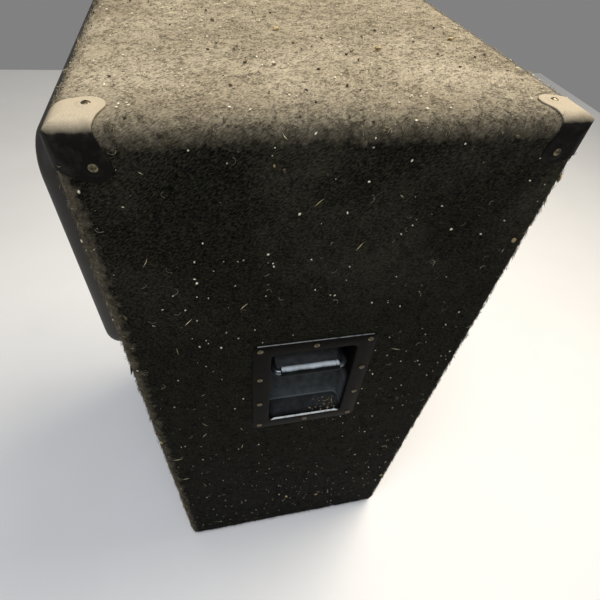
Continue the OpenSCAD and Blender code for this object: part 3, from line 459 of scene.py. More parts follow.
# rotary-cut birch plywood: pale face veneer with long brown grain up the panel
def plywoodFace(name, pale, dark, rough):
    material, tree, shader, place = newMaterial(name)
    long = addNode(tree, "Mapping", {"Vector": place, "Scale": (1.0, 1.0, 0.06)})
    figure = addNode(tree, "TexNoise",
                     {"Vector": long, "Scale": 1 / (16 * mm), "Detail": 5.0, "Distortion": 0.6})
    pore = addNode(tree, "TexNoise", {"Vector": long, "Scale": 1 / (1.6 * mm), "Detail": 2.0})
    tone = addNode(tree, "Mix", {0: figure, 6: linear(pale), 7: linear(dark)}, out=2, data_type="RGBA")
    grey = addNode(tree, "MapRange", {"Value": pore, "From Min": 0.35, "From Max": 0.65,
                                      "To Min": 0.82, "To Max": 1.08})
    tone = addNode(tree, "Mix", {0: 1.0, 6: tone, 7: grey}, out=2, data_type="RGBA", blend_type="MULTIPLY")
    normal = addNode(tree, "Bump", {"Height": pore, "Distance": 0.12 * mm, "Strength": 0.6})
    setInputs(tree, shader, {"Base Color": tone, "Roughness": rough, "Normal": normal})
    return material


# open-cell or fibrous stuffing: soft cells a few millimetres wide and no gloss
def stuffing(name, pale, dark, cell, depth):
    material, tree, shader, place = newMaterial(name)
    cells = addNode(tree, "TexVoronoi", {"Vector": place, "Scale": 1 / (cell * mm)}, out="Distance")
    fluff = addNode(tree, "TexNoise", {"Vector": place, "Scale": 1 / (cell * 4 * mm), "Detail": 5.0})
    mix = addNode(tree, "Math", {0: cells, 1: fluff}, operation="MULTIPLY")
    tone = addNode(tree, "Mix", {0: mix, 6: linear(dark), 7: linear(pale)}, out=2, data_type="RGBA")
    normal = addNode(tree, "Bump", {"Height": cells, "Distance": depth * mm, "Strength": 0.8})
    setInputs(tree, shader,
              {"Base Color": tone, "Roughness": 0.95, "Normal": normal, "Specular IOR Level": 0.15,
                             "Sheen Weight": 0.1})
    return material


finishes["carpet"] = trunkCarpet()
finishes["plywood"] = plywoodFace("birchPlywood", "#cdb083", "#9c7748", 0.6)
finishes["black_plywood"] = plywoodFace("blackStainedPlywood", "#1d1b18", "#0f0e0d", 0.7)
finishes["wadding"] = stuffing("polyesterWadding", "#e8e6df", "#b9b6ad", 3.0, 1.2)
finishes["foam"] = stuffing("openCellFoam", "#2b2a28", "#0c0c0c", 2.0, 0.8)

for row in frame["record"]["subparts"]:
    node = nodes[row["node"]]
    node.data.materials.clear()
    node.data.materials.append(finishes[row["material_slot"]])
print("finishes are on the CAD nodes")


# turns a bmesh into a finished piece that rides on a body and takes the place of CAD nodes
def makePiece(name, bm, slot, body="root", stands=(), crease=35, finish=None):
    bmesh.ops.remove_doubles(bm, verts=bm.verts, dist=0.01 * mm)
    mesh = bpy.data.meshes.new(name)
    bm.to_mesh(mesh)
    bm.free()
    mesh.shade_smooth()
    mesh.set_sharp_from_angle(angle=math.radians(crease))
    mesh.materials.append(finish or finishes[slot])
    piece = bpy.data.objects.new(name, mesh)
    bpy.context.scene.collection.objects.link(piece)
    if body:
        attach(piece, body)
    if stands:
        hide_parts(*stands)
    return piece


def soften(piece, width, angle):
    soft = piece.modifiers.new("softEdges", "BEVEL")
    soft.width = width
    soft.segments = 2
    soft.limit_method = "ANGLE"
    soft.angle_limit = math.radians(angle)


def thicken(piece, thickness, edge=0.0):
    wall = piece.modifiers.new("sheetThickness", "SOLIDIFY")
    wall.thickness = thickness
    wall.offset = -1
    if edge:
        soften(piece, edge, 50)


# a box whose faces are cut into a grid, with a number of cuts for each way
def gridBox(low, high, cuts):
    bm = bmesh.new()
    bmesh.ops.create_cube(bm, size=1)
    size = high - low
    bmesh.ops.scale(bm, vec=size, verts=bm.verts)
    bmesh.ops.translate(bm, vec=(low + high) / 2, verts=bm.verts)
    for way, count in enumerate(cuts):
        if count:
            run = [e for e in bm.edges if abs((e.verts[1].co - e.verts[0].co)[way]) > size[way] * 0.9]
            bmesh.ops.subdivide_edges(bm, edges=run, cuts=count, use_grid_fill=True)
    return bm


# trunk carpet: a wrapped sheet and a back sheet, pressed flat under the fittings
carpet = {
    "step": 7.3 * mm,             # spacing of the sheet's mesh
    "radius": 20 * mm,            # rounding of the cabinet's long edges
    "thickness": 3.4 * mm,
    "lump": 0.9 * mm,             # height of the felt's lumps
    "seam": 1.2 * mm,             # how far the back sheet's edges are pulled in
    "lay": (0.6, 0.62, -0.5),     # way that the fibres lie
    "margin": 3 * mm,             # how far the pressed part reaches past a fitting
}
handle = {
    "flange": (181 * mm, 238 * mm),
    "opening": (127 * mm, 190 * mm),
    "deep": 62 * mm,              # the dish's back
    "low": 28 * mm,               # the ledge at its bottom
    "knee": -20 * mm,             # height where the back starts to slope out
    "sheet": 1.6 * mm,
    "corner": 9 * mm,
    "rim": 3 * mm,
}
guard = {
    "square": 40 * mm,            # reach of a petal's square part from the corner
    "petal": 15 * mm,             # radius of its round end
    "screwIn": 34.6 * mm,
    "sheet": 1.6 * mm,
    "bossWidth": 19 * mm,
    "bossTop": 11 * mm,
    "bossRise": 1.1 * mm,
}
inputLo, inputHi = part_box("input_dish")
plateRim = 14 * mm                # width of the input plate's flange


def lump(place):
    broad = noise.noise(place / (45 * mm)) * 0.6
    return (broad + noise.noise(place / (13 * mm)) * 0.7) * carpet["lump"]


def inHandle(place, size, margin):
    return abs(place.y - midY) < size[0] / 2 + margin and abs(place.z - dishZ) < size[1] / 2 + margin


def inPlate(place, margin):
    across = inputLo.x - margin < place.x < inputHi.x + margin
    return across and inputLo.z - margin < place.z < inputHi.z + margin


def underGuard(place):
    reach = [wrapHi.x - abs(place.x), min(place.y - wrapLo.y, wrapHi.y - place.y), wrapHi.z - place.z]
    first, second = sorted(reach)[1:]
    square = first < guard["square"] and second < guard["square"]
    return square or math.hypot(first - guard["screwIn"], second - guard["screwIn"]) < guard["petal"]


# where the sheet lies flat under a fitting
def pressed(place):
    margin = carpet["margin"]
    underHandle = abs(place.x) > wrapHi.x - 2 * mm and inHandle(place, handle["flange"], margin)
    underPlate = place.y > wrapHi.y - 2 * mm and inPlate(place, margin)
    return underHandle or underPlate or underGuard(place)


# the point on the rounded, lumpy sheet that belongs to a point on the plain box, and its normal
def onSheet(point):
    radius = carpet["radius"]
    core = Vector(min(max(c, a + radius), b - radius) for c, a, b in zip(point, wrapLo, wrapHi))
    normal = (Vector(point) - core).normalized()
    place = core + normal * radius
    rise = -0.5 * mm if pressed(place) else lump(place)
    return place + normal * (rise - 0.3 * mm), normal


def isBackSheet(middle):
    edge = carpet["radius"]
    return middle.y > wrapHi.y - mm and abs(middle.x) < wrapHi.x - edge \
        and wrapLo.z + edge < middle.z < wrapHi.z - edge


def isOpening(middle):
    front = middle.y < wrapLo.y + mm and abs(middle.x) < innerX and panelLo.z < middle.z < panelHi.z
    hand = abs(middle.x) > wrapHi.x - mm and inHandle(middle, handle["opening"], 6 * mm)
    plate = middle.y > wrapHi.y - mm and inPlate(middle, -plateRim)
    return front or hand or plate


def makeCarpet():
    for name, node, back in (("carpetWrap", "carpet_wrap", False), ("carpetBack", "carpet_back", True)):
        bm = gridBox(wrapLo, wrapHi, [round(length / carpet["step"]) - 1 for length in wrapHi - wrapLo])
        away = []
        for f in bm.faces:
            middle = f.calc_center_median()
            if isOpening(middle) or isBackSheet(middle) != back:
                away.append(f)
        bmesh.ops.delete(bm, geom=away, context="FACES")
        for v in bm.verts:
            v.co = onSheet(v.co)[0]
        if back:
            for v in bm.verts:
                if v.is_boundary:
                    v.co.y -= carpet["seam"]
        bmesh.ops.recalc_face_normals(bm, faces=bm.faces)
        if back and bm.faces[0].normal.y < 0:
            bmesh.ops.reverse_faces(bm, faces=bm.faces)
        piece = makePiece(name, bm, "carpet", stands=[node], crease=180)
        thicken(piece, carpet["thickness"])


makeCarpet()
print("carpet sheets are wrapped")


# copies small forms onto many places, each turned and sized by a matrix
def scatter(bm, forms, matrices):
    for index, matrix in enumerate(matrices):
        form = forms[index % len(forms)]
        form.transform(matrix)
        bm.from_mesh(form)
        form.transform(matrix.inverted())


def slender(bm, start, end, radius, bend):
    way = end - start
    turn = way.to_track_quat("Z", "Y").to_matrix().to_4x4()
    size = Matrix.Diagonal((radius, radius, way.length / 2, 1))
    made = bmesh.ops.create_uvsphere(bm, u_segments=3, v_segments=2, radius=1,
                                     matrix=Matrix.Translation((start + end) / 2) @ turn @ size)
    for v in made["verts"]:
        if (v.co - start).length > radius * 1.5 and (v.co - end).length > radius * 1.5:
            v.co += bend


def makeForm(build, *sizes):
    bm = bmesh.new()
    build(bm, *sizes)
    mesh = bpy.data.meshes.new("form")
    bm.to_mesh(mesh)
    bm.free()
    return mesh


# nap: tufts of pulled fibre that stand on the sheet
nap = {
    "tuftWidth": 7 * mm,
    "fibres": 4,
    "length": (3 * mm, 8 * mm),
    "radius": 0.22 * mm,          # coarser than real fibre, so that it shows
    "lift": 1.5 * mm,
    "spread": 38,                 # degrees about the lay
    "forms": 12,
    "spacing": {"top": 6.2 * mm, "right": 8.6 * mm, "left": 9.5 * mm, "back": 9.5 * mm, "front": 8 * mm},
}


def tuft(bm):
    for _ in range(nap["fibres"]):
        angle = math.radians(random.gauss(0, nap["spread"]))
        length = random.uniform(*nap["length"])
        start = Vector((random.uniform(-1, 1), random.uniform(-1, 1), 0)) * nap["tuftWidth"] / 2
        start.z = -0.2 * mm
        end = start + Vector((math.cos(angle), math.sin(angle), 0)) * length
        end.z = random.uniform(0.1, 1) * nap["lift"]
        bend = Vector((0, random.uniform(-1, 1), random.uniform(0, 1))) * 0.7 * mm
        slender(bm, start, end, nap["radius"], bend)


# places spread evenly over one face of the cabinet, as points of the plain box
def spots(face, count):
    low, high = wrapLo.copy(), wrapHi.copy()
    planes = {"top": (2, high.z), "right": (0, high.x), "left": (0, low.x), "back": (1, high.y),
              "front": (1, low.y)}
    way, level = planes[face]
    made = []
    while len(made) < count:
        point = Vector(random.uniform(a, b) for a, b in zip(low, high))
        point[way] = level
        if not isOpening(point) and not pressed(point):
            made.append(point)
    return made


# a frame standing on the sheet whose x axis follows the lay of the fibres
def standing(point, turn, size):
    place, normal = onSheet(point)
    lay = Vector(carpet["lay"])
    lay = (lay - normal * lay.dot(normal)).normalized()
    across = normal.cross(lay)
    basis = Matrix((lay, across, normal)).transposed().to_4x4()
    return Matrix.Translation(place) @ basis @ Matrix.Rotation(turn, 4, "Z") @ Matrix.Scale(size, 4)


def makeNap():
    tufts = [makeForm(tuft) for _ in range(nap["forms"])]
    size = wrapHi - wrapLo
    areas = {"top": size.x * size.y, "right": size.y * size.z, "left": size.y * size.z,
             "back": size.x * size.z, "front": 2 * (size.x + size.z) * (wrapHi.x - innerX)}
    for face, area in areas.items():
        bm = bmesh.new()
        count = int(area / nap["spacing"][face] ** 2)
        frames = [standing(p, random.gauss(0, 0.3), random.uniform(0.75, 1.2)) for p in spots(face, count)]
        scatter(bm, tufts, frames)
        makePiece("carpetNap" + face.capitalize(), bm, "carpet", crease=180)


makeNap()
print("nap is on the carpet")


# what has settled on the carpet: straw, curled threads, pale specks, crumbs and matted clumps
lint = {      # how many, smallest and largest, finish: name, pale and dark tone, width of one tone in mm
    "straw": (90, (6 * mm, 20 * mm), ("dryStraw", "#e6dcb8", "#8f7c50", 9)),
    "thread": (330, (3 * mm, 10 * mm), ("looseThread", "#9c937a", "#4d4738", 8)),
    "speck": (1250, (0.5 * mm, 1.6 * mm), ("paleLintSpeck", "#efe8cf", "#7e745a", 4)),
    "crumb": (420, (0.9 * mm, 2.2 * mm), ("driedCrumb", "#4d3f2a", "#1d1710", 5)),
    "clump": (26, (2.2 * mm, 4.6 * mm), ("mattedLint", "#bda878", "#5f5238", 12)),
}
lintShare = {"top": 0.38, "right": 0.28, "left": 0.15, "back": 0.13, "front": 0.06}
strawRadius, threadRadius = 0.45 * mm, 0.2 * mm


def straw(bm, sizes):
    length = random.uniform(*sizes)
    start = Vector((-length / 2, 0, 1.2 * mm))
    end = Vector((length / 2, random.uniform(-2, 2) * mm, random.uniform(1.2, 2.6) * mm))
    slender(bm, start, end, strawRadius, Vector((0, random.uniform(-1, 1), 0.4)) * mm)


# a thin thread lying in part of a circle, spun from a small round section
def thread(bm, sizes):
    across = random.uniform(*sizes)
    upright = Matrix.Translation((across / 2, 0, 1.4 * mm)) @ Matrix.Rotation(math.pi / 2, 4, "X")
    section = bmesh.ops.create_circle(bm, cap_ends=True, segments=5, radius=threadRadius, matrix=upright)
    bmesh.ops.spin(bm, geom=section["verts"] + bm.edges[:] + bm.faces[:], cent=(0, 0, 1.4 * mm),
                   axis=(0, 0.2, 1), angle=math.radians(random.uniform(70, 240)), steps=9,
                   use_duplicate=False)
    bmesh.ops.recalc_face_normals(bm, faces=bm.faces)


def crumb(bm, sizes):
    size = random.uniform(*sizes)
    bmesh.ops.create_icosphere(bm, subdivisions=1, radius=size)
    for v in bm.verts:
        v.co *= random.uniform(0.6, 1.15)
    bmesh.ops.scale(bm, vec=(1.25, 0.85, 0.6), verts=bm.verts)
    bmesh.ops.translate(bm, vec=(0, 0, 0.9 * mm + size * 0.3), verts=bm.verts)


# dry plant bits and lint: cream to yellow-brown, matt, each piece its own tone
def dryLint(name, pale, dark, width):
    material, tree, shader, place = newMaterial(name)
    cell = addNode(tree, "VectorMath", {0: place, 1: (width * mm,) * 3}, operation="SNAP")
    each = addNode(tree, "TexWhiteNoise", {"Vector": cell}, noise_dimensions="3D")
    fleck = addNode(tree, "TexNoise", {"Vector": place, "Scale": 1 / (1.1 * mm), "Detail": 2.0})
    share = addNode(tree, "Math", {0: each, 1: 0.75, 2: fleck}, operation="MULTIPLY_ADD")
    share = addNode(tree, "MapRange", {"Value": share, "From Min": 0.4, "From Max": 1.2})
    tone = addNode(tree, "Mix", {0: share, 6: linear(dark), 7: linear(pale)}, out=2, data_type="RGBA")
    normal = addNode(tree, "Bump", {"Height": fleck, "Distance": 0.2 * mm})
    setInputs(tree, shader, {"Base Color": tone, "Roughness": 0.8, "Normal": normal})
    return material


def makeLint():
    builders = {"straw": straw, "thread": thread}
    for kind, (count, sizes, look) in lint.items():
        forms = [makeForm(builders.get(kind, crumb), sizes) for _ in range(6)]
        bm = bmesh.new()
        for face, share in lintShare.items():
            places = spots(face, int(count * share))
            scatter(bm, forms,
                    [standing(p, random.uniform(0, math.tau), random.uniform(0.7, 1.2)) for p in places])
        makePiece("lint" + kind.capitalize(), bm, "carpet", crease=60, finish=dryLint(*look))


makeLint()
print("lint has settled")


# recessed bar handles, in a side's own frame: x to the back, y up, z out of the face
def sideFrame(side):
    s = sides[side]
    return Matrix(((0, 0, s, s * wrapHi.x), (1, 0, 0, midY), (0, 1, 0, dishZ), (0, 0, 0, 1)))


def boundary(bm):
    return [e for e in bm.edges if e.is_boundary]


# a sheet pressed into a cavity, with a flange about its mouth: the cavity's outline is seen from the side
def pressedDish(bm, outline, width, flange, corner, rim, face):
    def atFace(part):
        return all(abs(v.co.z - face) < 1e-6 for v in part.verts)
    bm.faces.new([bm.verts.new((-width / 2, y, z)) for y, z in outline])
    grown = bmesh.ops.extrude_face_region(bm, geom=bm.faces[:])["geom"]
    bmesh.ops.translate(bm, vec=(width, 0, 0), verts=[g for g in grown if isinstance(g, bmesh.types.BMVert)])
    bmesh.ops.delete(bm, geom=[f for f in bm.faces if atFace(f)], context="FACES")
    bmesh.ops.bevel(bm, geom=[e for e in bm.edges if not atFace(e)], offset=corner, segments=6, profile=0.5,
                    affect="EDGES", material=-1, clamp_overlap=True)
    lip = boundary(bm)
    height = outline[-1][0] - outline[0][0]
    grown = bmesh.ops.extrude_edge_only(bm, edges=lip)["geom"]
    for v in grown:
        if isinstance(v, bmesh.types.BMVert):
            v.co.x += math.copysign((flange[0] - width) / 2, v.co.x)
            v.co.y += math.copysign((flange[1] - height) / 2, v.co.y)
    bmesh.ops.bevel(bm, geom=lip, offset=rim, segments=4, profile=0.5, affect="EDGES", material=-1,
                    clamp_overlap=True)
    bmesh.ops.recalc_face_normals(bm, faces=bm.faces)
    if sum(f.normal.z * f.calc_area() for f in bm.faces if atFace(f)) < 0:
        bmesh.ops.reverse_faces(bm, faces=bm.faces)


def makeHandleDish(side):
    width, height = handle["opening"]
    face = handle["sheet"]
    outline = [(-height / 2, face), (-height / 2, -handle["low"]), (handle["knee"], -handle["deep"]),
               (height / 2, -handle["deep"]), (height / 2, face)]
    bm = bmesh.new()
    pressedDish(bm, outline, width, handle["flange"], handle["corner"], handle["rim"], face)
    bmesh.ops.transform(bm, matrix=sideFrame(side), verts=bm.verts)
    if sides[side] < 0:
        bmesh.ops.reverse_faces(bm, faces=bm.faces)
    node = "handle_dish_" + side
    piece = makePiece("handleDish" + side.capitalize(), bm, "handle_paint", stands=[node], crease=50)
    thicken(piece, handle["sheet"], edge=0.3 * mm)


grip = {"rodRadius": 4.85 * mm, "endRadius": 3.2 * mm, "collar": 7 * mm, "groove": 0.5 * mm}


# the sleeve on a bar: a turned tube with rounded ends and a collar line near each
def makeGrip(side):
    node = "handle_grip_" + side
    low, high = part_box(node)
    middle = (low + high) / 2
    radius, half = (high.z - low.z) / 2, (high.y - low.y) / 2
    end, groove, collar = grip["endRadius"], grip["groove"], grip["collar"]
    quarter = [math.radians(a) for a in range(0, 91, 15)]
    right = [(radius - end + end * math.cos(a), half - end + end * math.sin(a)) for a in quarter]
    line = [(radius, half - collar + 1.2 * mm), (radius - groove, half - collar + 0.8 * mm),
            (radius - groove, half - collar), (radius, half - collar - 0.4 * mm)]
    profile = [(grip["rodRadius"], half)] + right[::-1] + line
    profile += [(r, -y) for r, y in reversed(profile)]
    bm = bmesh.new()
    row = [bm.verts.new((middle.x + r, middle.y + y, middle.z)) for r, y in profile]
    edges = [bm.edges.new(pair) for pair in zip(row, row[1:] + row[:1])]
    bmesh.ops.spin(bm, geom=row + edges, cent=middle, axis=(0, 1, 0), angle=math.tau, steps=48,
                   use_merge=True)
    bmesh.ops.remove_doubles(bm, verts=bm.verts, dist=0.01 * mm)
    bmesh.ops.recalc_face_normals(bm, faces=bm.faces)
    makePiece("handleSleeve" + side.capitalize(), bm, "grip_plastic", stands=[node])


for side in sides:
    makeHandleDish(side)
    makeGrip(side)
print("handles are pressed and sleeved")


# corner protectors: pressed from one sheet, softened at the edges, with a boss under each screw
def cadCopy(node):
    bm = bmesh.new()
    bm.from_mesh(nodes[node].data)
    bmesh.ops.remove_doubles(bm, verts=bm.verts, dist=0.02 * mm)
    bmesh.ops.dissolve_limit(bm, angle_limit=math.radians(1), verts=bm.verts, edges=bm.edges)
    return bm


def screwBoss(bm, place, normal):
    turn = normal.to_track_quat("Z", "Y").to_matrix().to_4x4()
    base = Matrix.Translation(place + normal * guard["bossRise"] / 2) @ turn
    made = bmesh.ops.create_cone(bm, cap_ends=True, segments=32, radius1=guard["bossWidth"] / 2,
                                 radius2=guard["bossTop"] / 2, depth=guard["bossRise"], matrix=base)
    raised = {v for v in made["verts"] if (v.co - place).dot(normal) > guard["bossRise"] * 0.9}
    top = [e for e in bm.edges if raised.issuperset(e.verts)]
    bmesh.ops.bevel(bm, geom=top, offset=0.8 * mm, segments=3, profile=0.5, affect="EDGES", material=-1)


def makeGuard(side, end):
    sx, sy = sides[side], {"front": -1, "back": 1}[end]
    x, y, z = sx * wrapHi.x, {"front": wrapLo.y, "back": wrapHi.y}[end], wrapHi.z
    screw, sheet = guard["screwIn"], guard["sheet"] * 0.9
    node = f"corner_{end}_{side}"
    bm = cadCopy(node)
    screwBoss(bm, Vector((x - sx * screw, y - sy * screw, z + sheet)), Vector((0, 0, 1)))
    screwBoss(bm, Vector((x + sx * sheet, y - sy * screw, z - screw)), Vector((sx, 0, 0)))
    if end == "back":
        screwBoss(bm, Vector((x - sx * screw, y + sheet, z - screw)), Vector((0, 1, 0)))
    piece = makePiece(f"cornerGuard{end.capitalize()}{side.capitalize()}", bm, "plated_steel", stands=[node])
    soften(piece, 0.45 * mm, 45)


for side in sides:
    for end in ("front", "back"):
        makeGuard(side, end)
print("corners are guarded")


# horn: one moulding, lofted ring by ring from its lip down to the throat and back outside
hornLo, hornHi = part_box("horn_flare")
lipFront = hornLo.y
throatY = hornHi.y
hornZ = (hornLo.z + hornHi.z) / 2
hornSize = (hornHi.x - hornLo.x, hornHi.z - hornLo.z)
baffleY = panelLo.y
horn = {
    "bullnose": 16 * mm,
    "corner": 40 * mm,
    "lip": 26 * mm,
    "edge": 5 * mm,               # rounding between the lip and the mouth
    "mouthCorner": 18 * mm,
    "throat": 12.7 * mm,          # radius
    "wall": 4 * mm,
    "base": 54 * mm,              # radius of the plate that the driver bolts to
    "baseThick": 8 * mm,
    "pocket": 6.1 * mm,           # radius of a screw's pocket
    "rings": 14,
    "cornerSteps": 8,
    "curve": 0.45,                # how far the flare bends from straight to exponential
}


# a point on a rounded rectangle, counted round its four corners
def cornerPoint(width, height, radius, index, steps):
    quarter, step = divmod(index, steps + 1)
    angle = math.radians(90 * (quarter + step / steps))
    across, up = ((1, 1), (-1, 1), (-1, -1), (1, -1))[quarter]
    x = across * (width / 2 - radius) + radius * math.cos(angle)
    y = up * (height / 2 - radius) + radius * math.sin(angle)
    return x, y


# extrudes one loop again and again, and lays each new loop on the next rounded rectangle
def loft(bm, rings, steps, middleZ):
    def lay(verts, ring):
        width, height, radius, y = ring
        for index, v in enumerate(verts):
            x, z = cornerPoint(width, height, radius, index, steps)
            v.co = Vector((x, y, middleZ + z))
    loop = bmesh.ops.create_circle(bm, segments=4 * (steps + 1), radius=1)["verts"]
    lay(loop, rings[0])
    for ring in rings[1:] + rings[:1]:
        edges = [bm.edges.get(pair) for pair in zip(loop, loop[1:] + loop[:1])]
        grown = bmesh.ops.extrude_edge_only(bm, edges=edges)["geom"]
        fresh = {g for g in grown if isinstance(g, bmesh.types.BMVert)}
        loop = [next(e.other_vert(v) for e in v.link_edges if e.other_vert(v) in fresh) for v in loop]
        lay(loop, ring)


# the horn's clear way at a share of its depth: 0 at the mouth, 1 at the throat
def flareRing(share, wall):
    mouth = [size - 2 * horn["lip"] for size in hornSize]
    throat = 2 * horn["throat"]
    sizes = []
    for size in mouth:
        straight = size + (throat - size) * share
        flared = size * (throat / size) ** share
        sizes.append(straight + (flared - straight) * horn["curve"])
    radius = horn["mouthCorner"] + (horn["throat"] - horn["mouthCorner"]) * share
    radius += (min(sizes) / 2 - radius) * share ** 3
    y = baffleY + (throatY - baffleY) * share
    return sizes[0] + 2 * wall, sizes[1] + 2 * wall, radius + wall, y


# the boxes of a mesh's loose parts, as (low, high)
def islands(mesh):
    bm = bmesh.new()
    bm.from_mesh(mesh)
    bmesh.ops.remove_doubles(bm, verts=bm.verts, dist=0.02 * mm)
    left, found = set(bm.verts), []
    while left:
        stack, part = [left.pop()], []
        while stack:
            v = stack.pop()
            part.append(v.co.copy())
            near = [e.other_vert(v) for e in v.link_edges if e.other_vert(v) in left]
            left.difference_update(near)
            stack.extend(near)
        found.append((Vector(map(min, zip(*part))), Vector(map(max, zip(*part)))))
    bm.free()
    return found


def makeHorn():
    width, height = hornSize
    nose, edge, lip, wall = horn["bullnose"], horn["edge"], horn["lip"], horn["wall"]
    turns = [math.radians(a) for a in range(0, 91, 15)]
    rings = [(width, height, horn["corner"], baffleY)]
    for a in turns:
        pulled = nose * (1 - math.cos(a))
        y = lipFront + nose * (1 - math.sin(a))
        rings.append((width - 2 * pulled, height - 2 * pulled, horn["corner"] - pulled, y))
    for a in turns:
        spread = lip - edge * (1 - math.sin(a))
        y = lipFront + edge * (1 - math.cos(a))
        rings.append((width - 2 * spread, height - 2 * spread, horn["mouthCorner"] + lip - spread, y))
    shares = [i / horn["rings"] for i in range(horn["rings"] + 1)]
    rings += [flareRing(share, 0) for share in shares]
    base = (2 * horn["base"], 2 * horn["base"], horn["base"])
    baseShare = 1 - horn["baseThick"] / (throatY - baffleY)
    rings += [base + (throatY,), base + (throatY - horn["baseThick"],)]
    rings += [flareRing(share, wall) for share in [baseShare] + [s for s in shares[::-1] if s < baseShare]]
    bm = bmesh.new()
    loft(bm, rings, horn["cornerSteps"], hornZ)
    bmesh.ops.remove_doubles(bm, verts=bm.verts, dist=0.01 * mm)
    bmesh.ops.recalc_face_normals(bm, faces=bm.faces)
    piece = makePiece("hornMoulding", bm, "horn_plastic", stands=["horn_flare"], crease=40)

    # pockets in the lip that the mounting screws drop into
    cutter = bmesh.new()
    for low, high in islands(nodes["baffle_screws"].data):
        middle = (low + high) / 2
        if middle.z > hornLo.z:
            middle.y = (lipFront + low.y) / 2
            place = Matrix.Translation(middle) @ Matrix.Rotation(math.pi / 2, 4, "X")
            bmesh.ops.create_cone(cutter, cap_ends=True, segments=24, radius1=horn["pocket"],
                                  radius2=horn["pocket"], depth=high.y - lipFront, matrix=place)
    mesh = bpy.data.meshes.new("pockets")
    cutter.to_mesh(mesh)
    cutter.free()
    tool = bpy.data.objects.new("pockets", mesh)
    bpy.context.scene.collection.objects.link(tool)
    cut = piece.modifiers.new("pockets", "BOOLEAN")
    cut.object = tool
    view = bpy.context.evaluated_depsgraph_get()
    piece.data = bpy.data.meshes.new_from_object(piece.evaluated_get(view))
    piece.modifiers.clear()
    bpy.data.objects.remove(tool)


makeHorn()
print("horn is moulded")


# grille: hexagonally punched sheet in a folded frame, with foam behind it
grilleLo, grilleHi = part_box("grille")
grille = {
    "pitch": 13 * mm,
    "bar": 2.4 * mm,              # steel left between two holes
    "sheet": 1.5 * mm,
    "border": 24 * mm,
    "corner": 6 * mm,
    "under": 3 * mm,              # how far the punched sheet reaches under the frame
    "fold": 2.5 * mm,             # rounding of the folded edge
    "setBack": 0.2 * mm,          # the punched sheet lies just behind the frame's face
}


def hexagon(bm):
    bmesh.ops.create_circle(bm, cap_ends=True, segments=6, radius=grille["pitch"] / math.sqrt(3))


def makeGrille():
    pitch, sheet, border = grille["pitch"], grille["sheet"], grille["border"]
    middle = (grilleLo + grilleHi) / 2
    width, height = grilleHi.x - grilleLo.x, grilleHi.z - grilleLo.z
    face = Matrix.Translation((middle.x, grilleLo.y, middle.z)) @ Matrix.Rotation(math.pi / 2, 4, "X")
    rise = pitch * math.sqrt(3) / 2
    rows, columns = int(height / rise / 2) + 1, int(width / pitch / 2) + 1
    places = [Matrix.Translation(((column + row % 2 / 2) * pitch, row * rise, 0))
              for row in range(-rows, rows + 1) for column in range(-columns, columns + 1)]
    bm = bmesh.new()
    scatter(bm, [makeForm(hexagon)], places)
    bmesh.ops.remove_doubles(bm, verts=bm.verts, dist=0.1 * mm)
    cells = bm.faces[:]
    bmesh.ops.inset_individual(bm, faces=cells, thickness=grille["bar"] / 2, use_even_offset=True)
    bmesh.ops.delete(bm, geom=cells, context="FACES")
    reach = Vector((width / 2 - border + grille["under"], height / 2 - border + grille["under"], 0))
    for axis in range(2):
        for s in (1, -1):
            normal = Vector((0, 0, 0))
            normal[axis] = s
            bmesh.ops.bisect_plane(bm, geom=bm.verts[:] + bm.edges[:] + bm.faces[:],
                                   plane_co=normal * reach[axis], plane_no=normal, clear_outer=True)
    bmesh.ops.transform(bm, matrix=face, verts=bm.verts)
    bmesh.ops.translate(bm, vec=(0, grille["setBack"], 0), verts=bm.verts)
    piece = makePiece("grilleSheet", bm, "black_paint", stands=["grille"], crease=30)
    thicken(piece, sheet - 2 * grille["setBack"])

    # the frame: a flat border whose outer edge is folded back to the baffle
    bm = bmesh.new()
    plate = bmesh.ops.create_grid(bm, x_segments=1, y_segments=1, size=0.5)
    bmesh.ops.scale(bm, vec=(width, height, 1), verts=plate["verts"])
    bmesh.ops.bevel(bm, geom=plate["verts"], offset=grille["corner"], segments=4, profile=0.5,
                    affect="VERTICES", material=-1)
    whole = bm.faces[:]
    bmesh.ops.inset_region(bm, faces=whole, thickness=border, use_boundary=True, use_even_offset=True)
    bmesh.ops.delete(bm, geom=whole, context="FACES")
    farX, farY = (width - border) / 2, (height - border) / 2
    outer = [e for e in boundary(bm) if any(abs(v.co.x) > farX or abs(v.co.y) > farY for v in e.verts)]
    folded = bmesh.ops.extrude_edge_only(bm, edges=outer)["geom"]
    depth = grilleHi.y - grilleLo.y
    bmesh.ops.translate(bm, vec=(0, 0, -depth),
                        verts=[g for g in folded if isinstance(g, bmesh.types.BMVert)])
    bmesh.ops.bevel(bm, geom=[e for e in outer if e.is_valid], offset=grille["fold"], segments=3, profile=0.5,
                    affect="EDGES", material=-1)
    bmesh.ops.transform(bm, matrix=face, verts=bm.verts)
    bmesh.ops.recalc_face_normals(bm, faces=bm.faces)
    if min(bm.faces, key=lambda f: f.calc_center_median().y).normal.y > 0:
        bmesh.ops.reverse_faces(bm, faces=bm.faces)
    piece = makePiece("grilleFrame", bm, "black_paint", stands=["grille"], crease=40)
    thicken(piece, sheet, edge=0.3 * mm)


# foam and wadding, each pad a closed, slightly uneven sheet
pads = {
    "foam": {"step": 22 * mm, "lump": 0.5 * mm, "grain": 90 * mm, "loss": 0.4 * mm},
    "wadding": {"step": 24 * mm, "lump": 4 * mm, "grain": 60 * mm, "loss": 5 * mm},
}


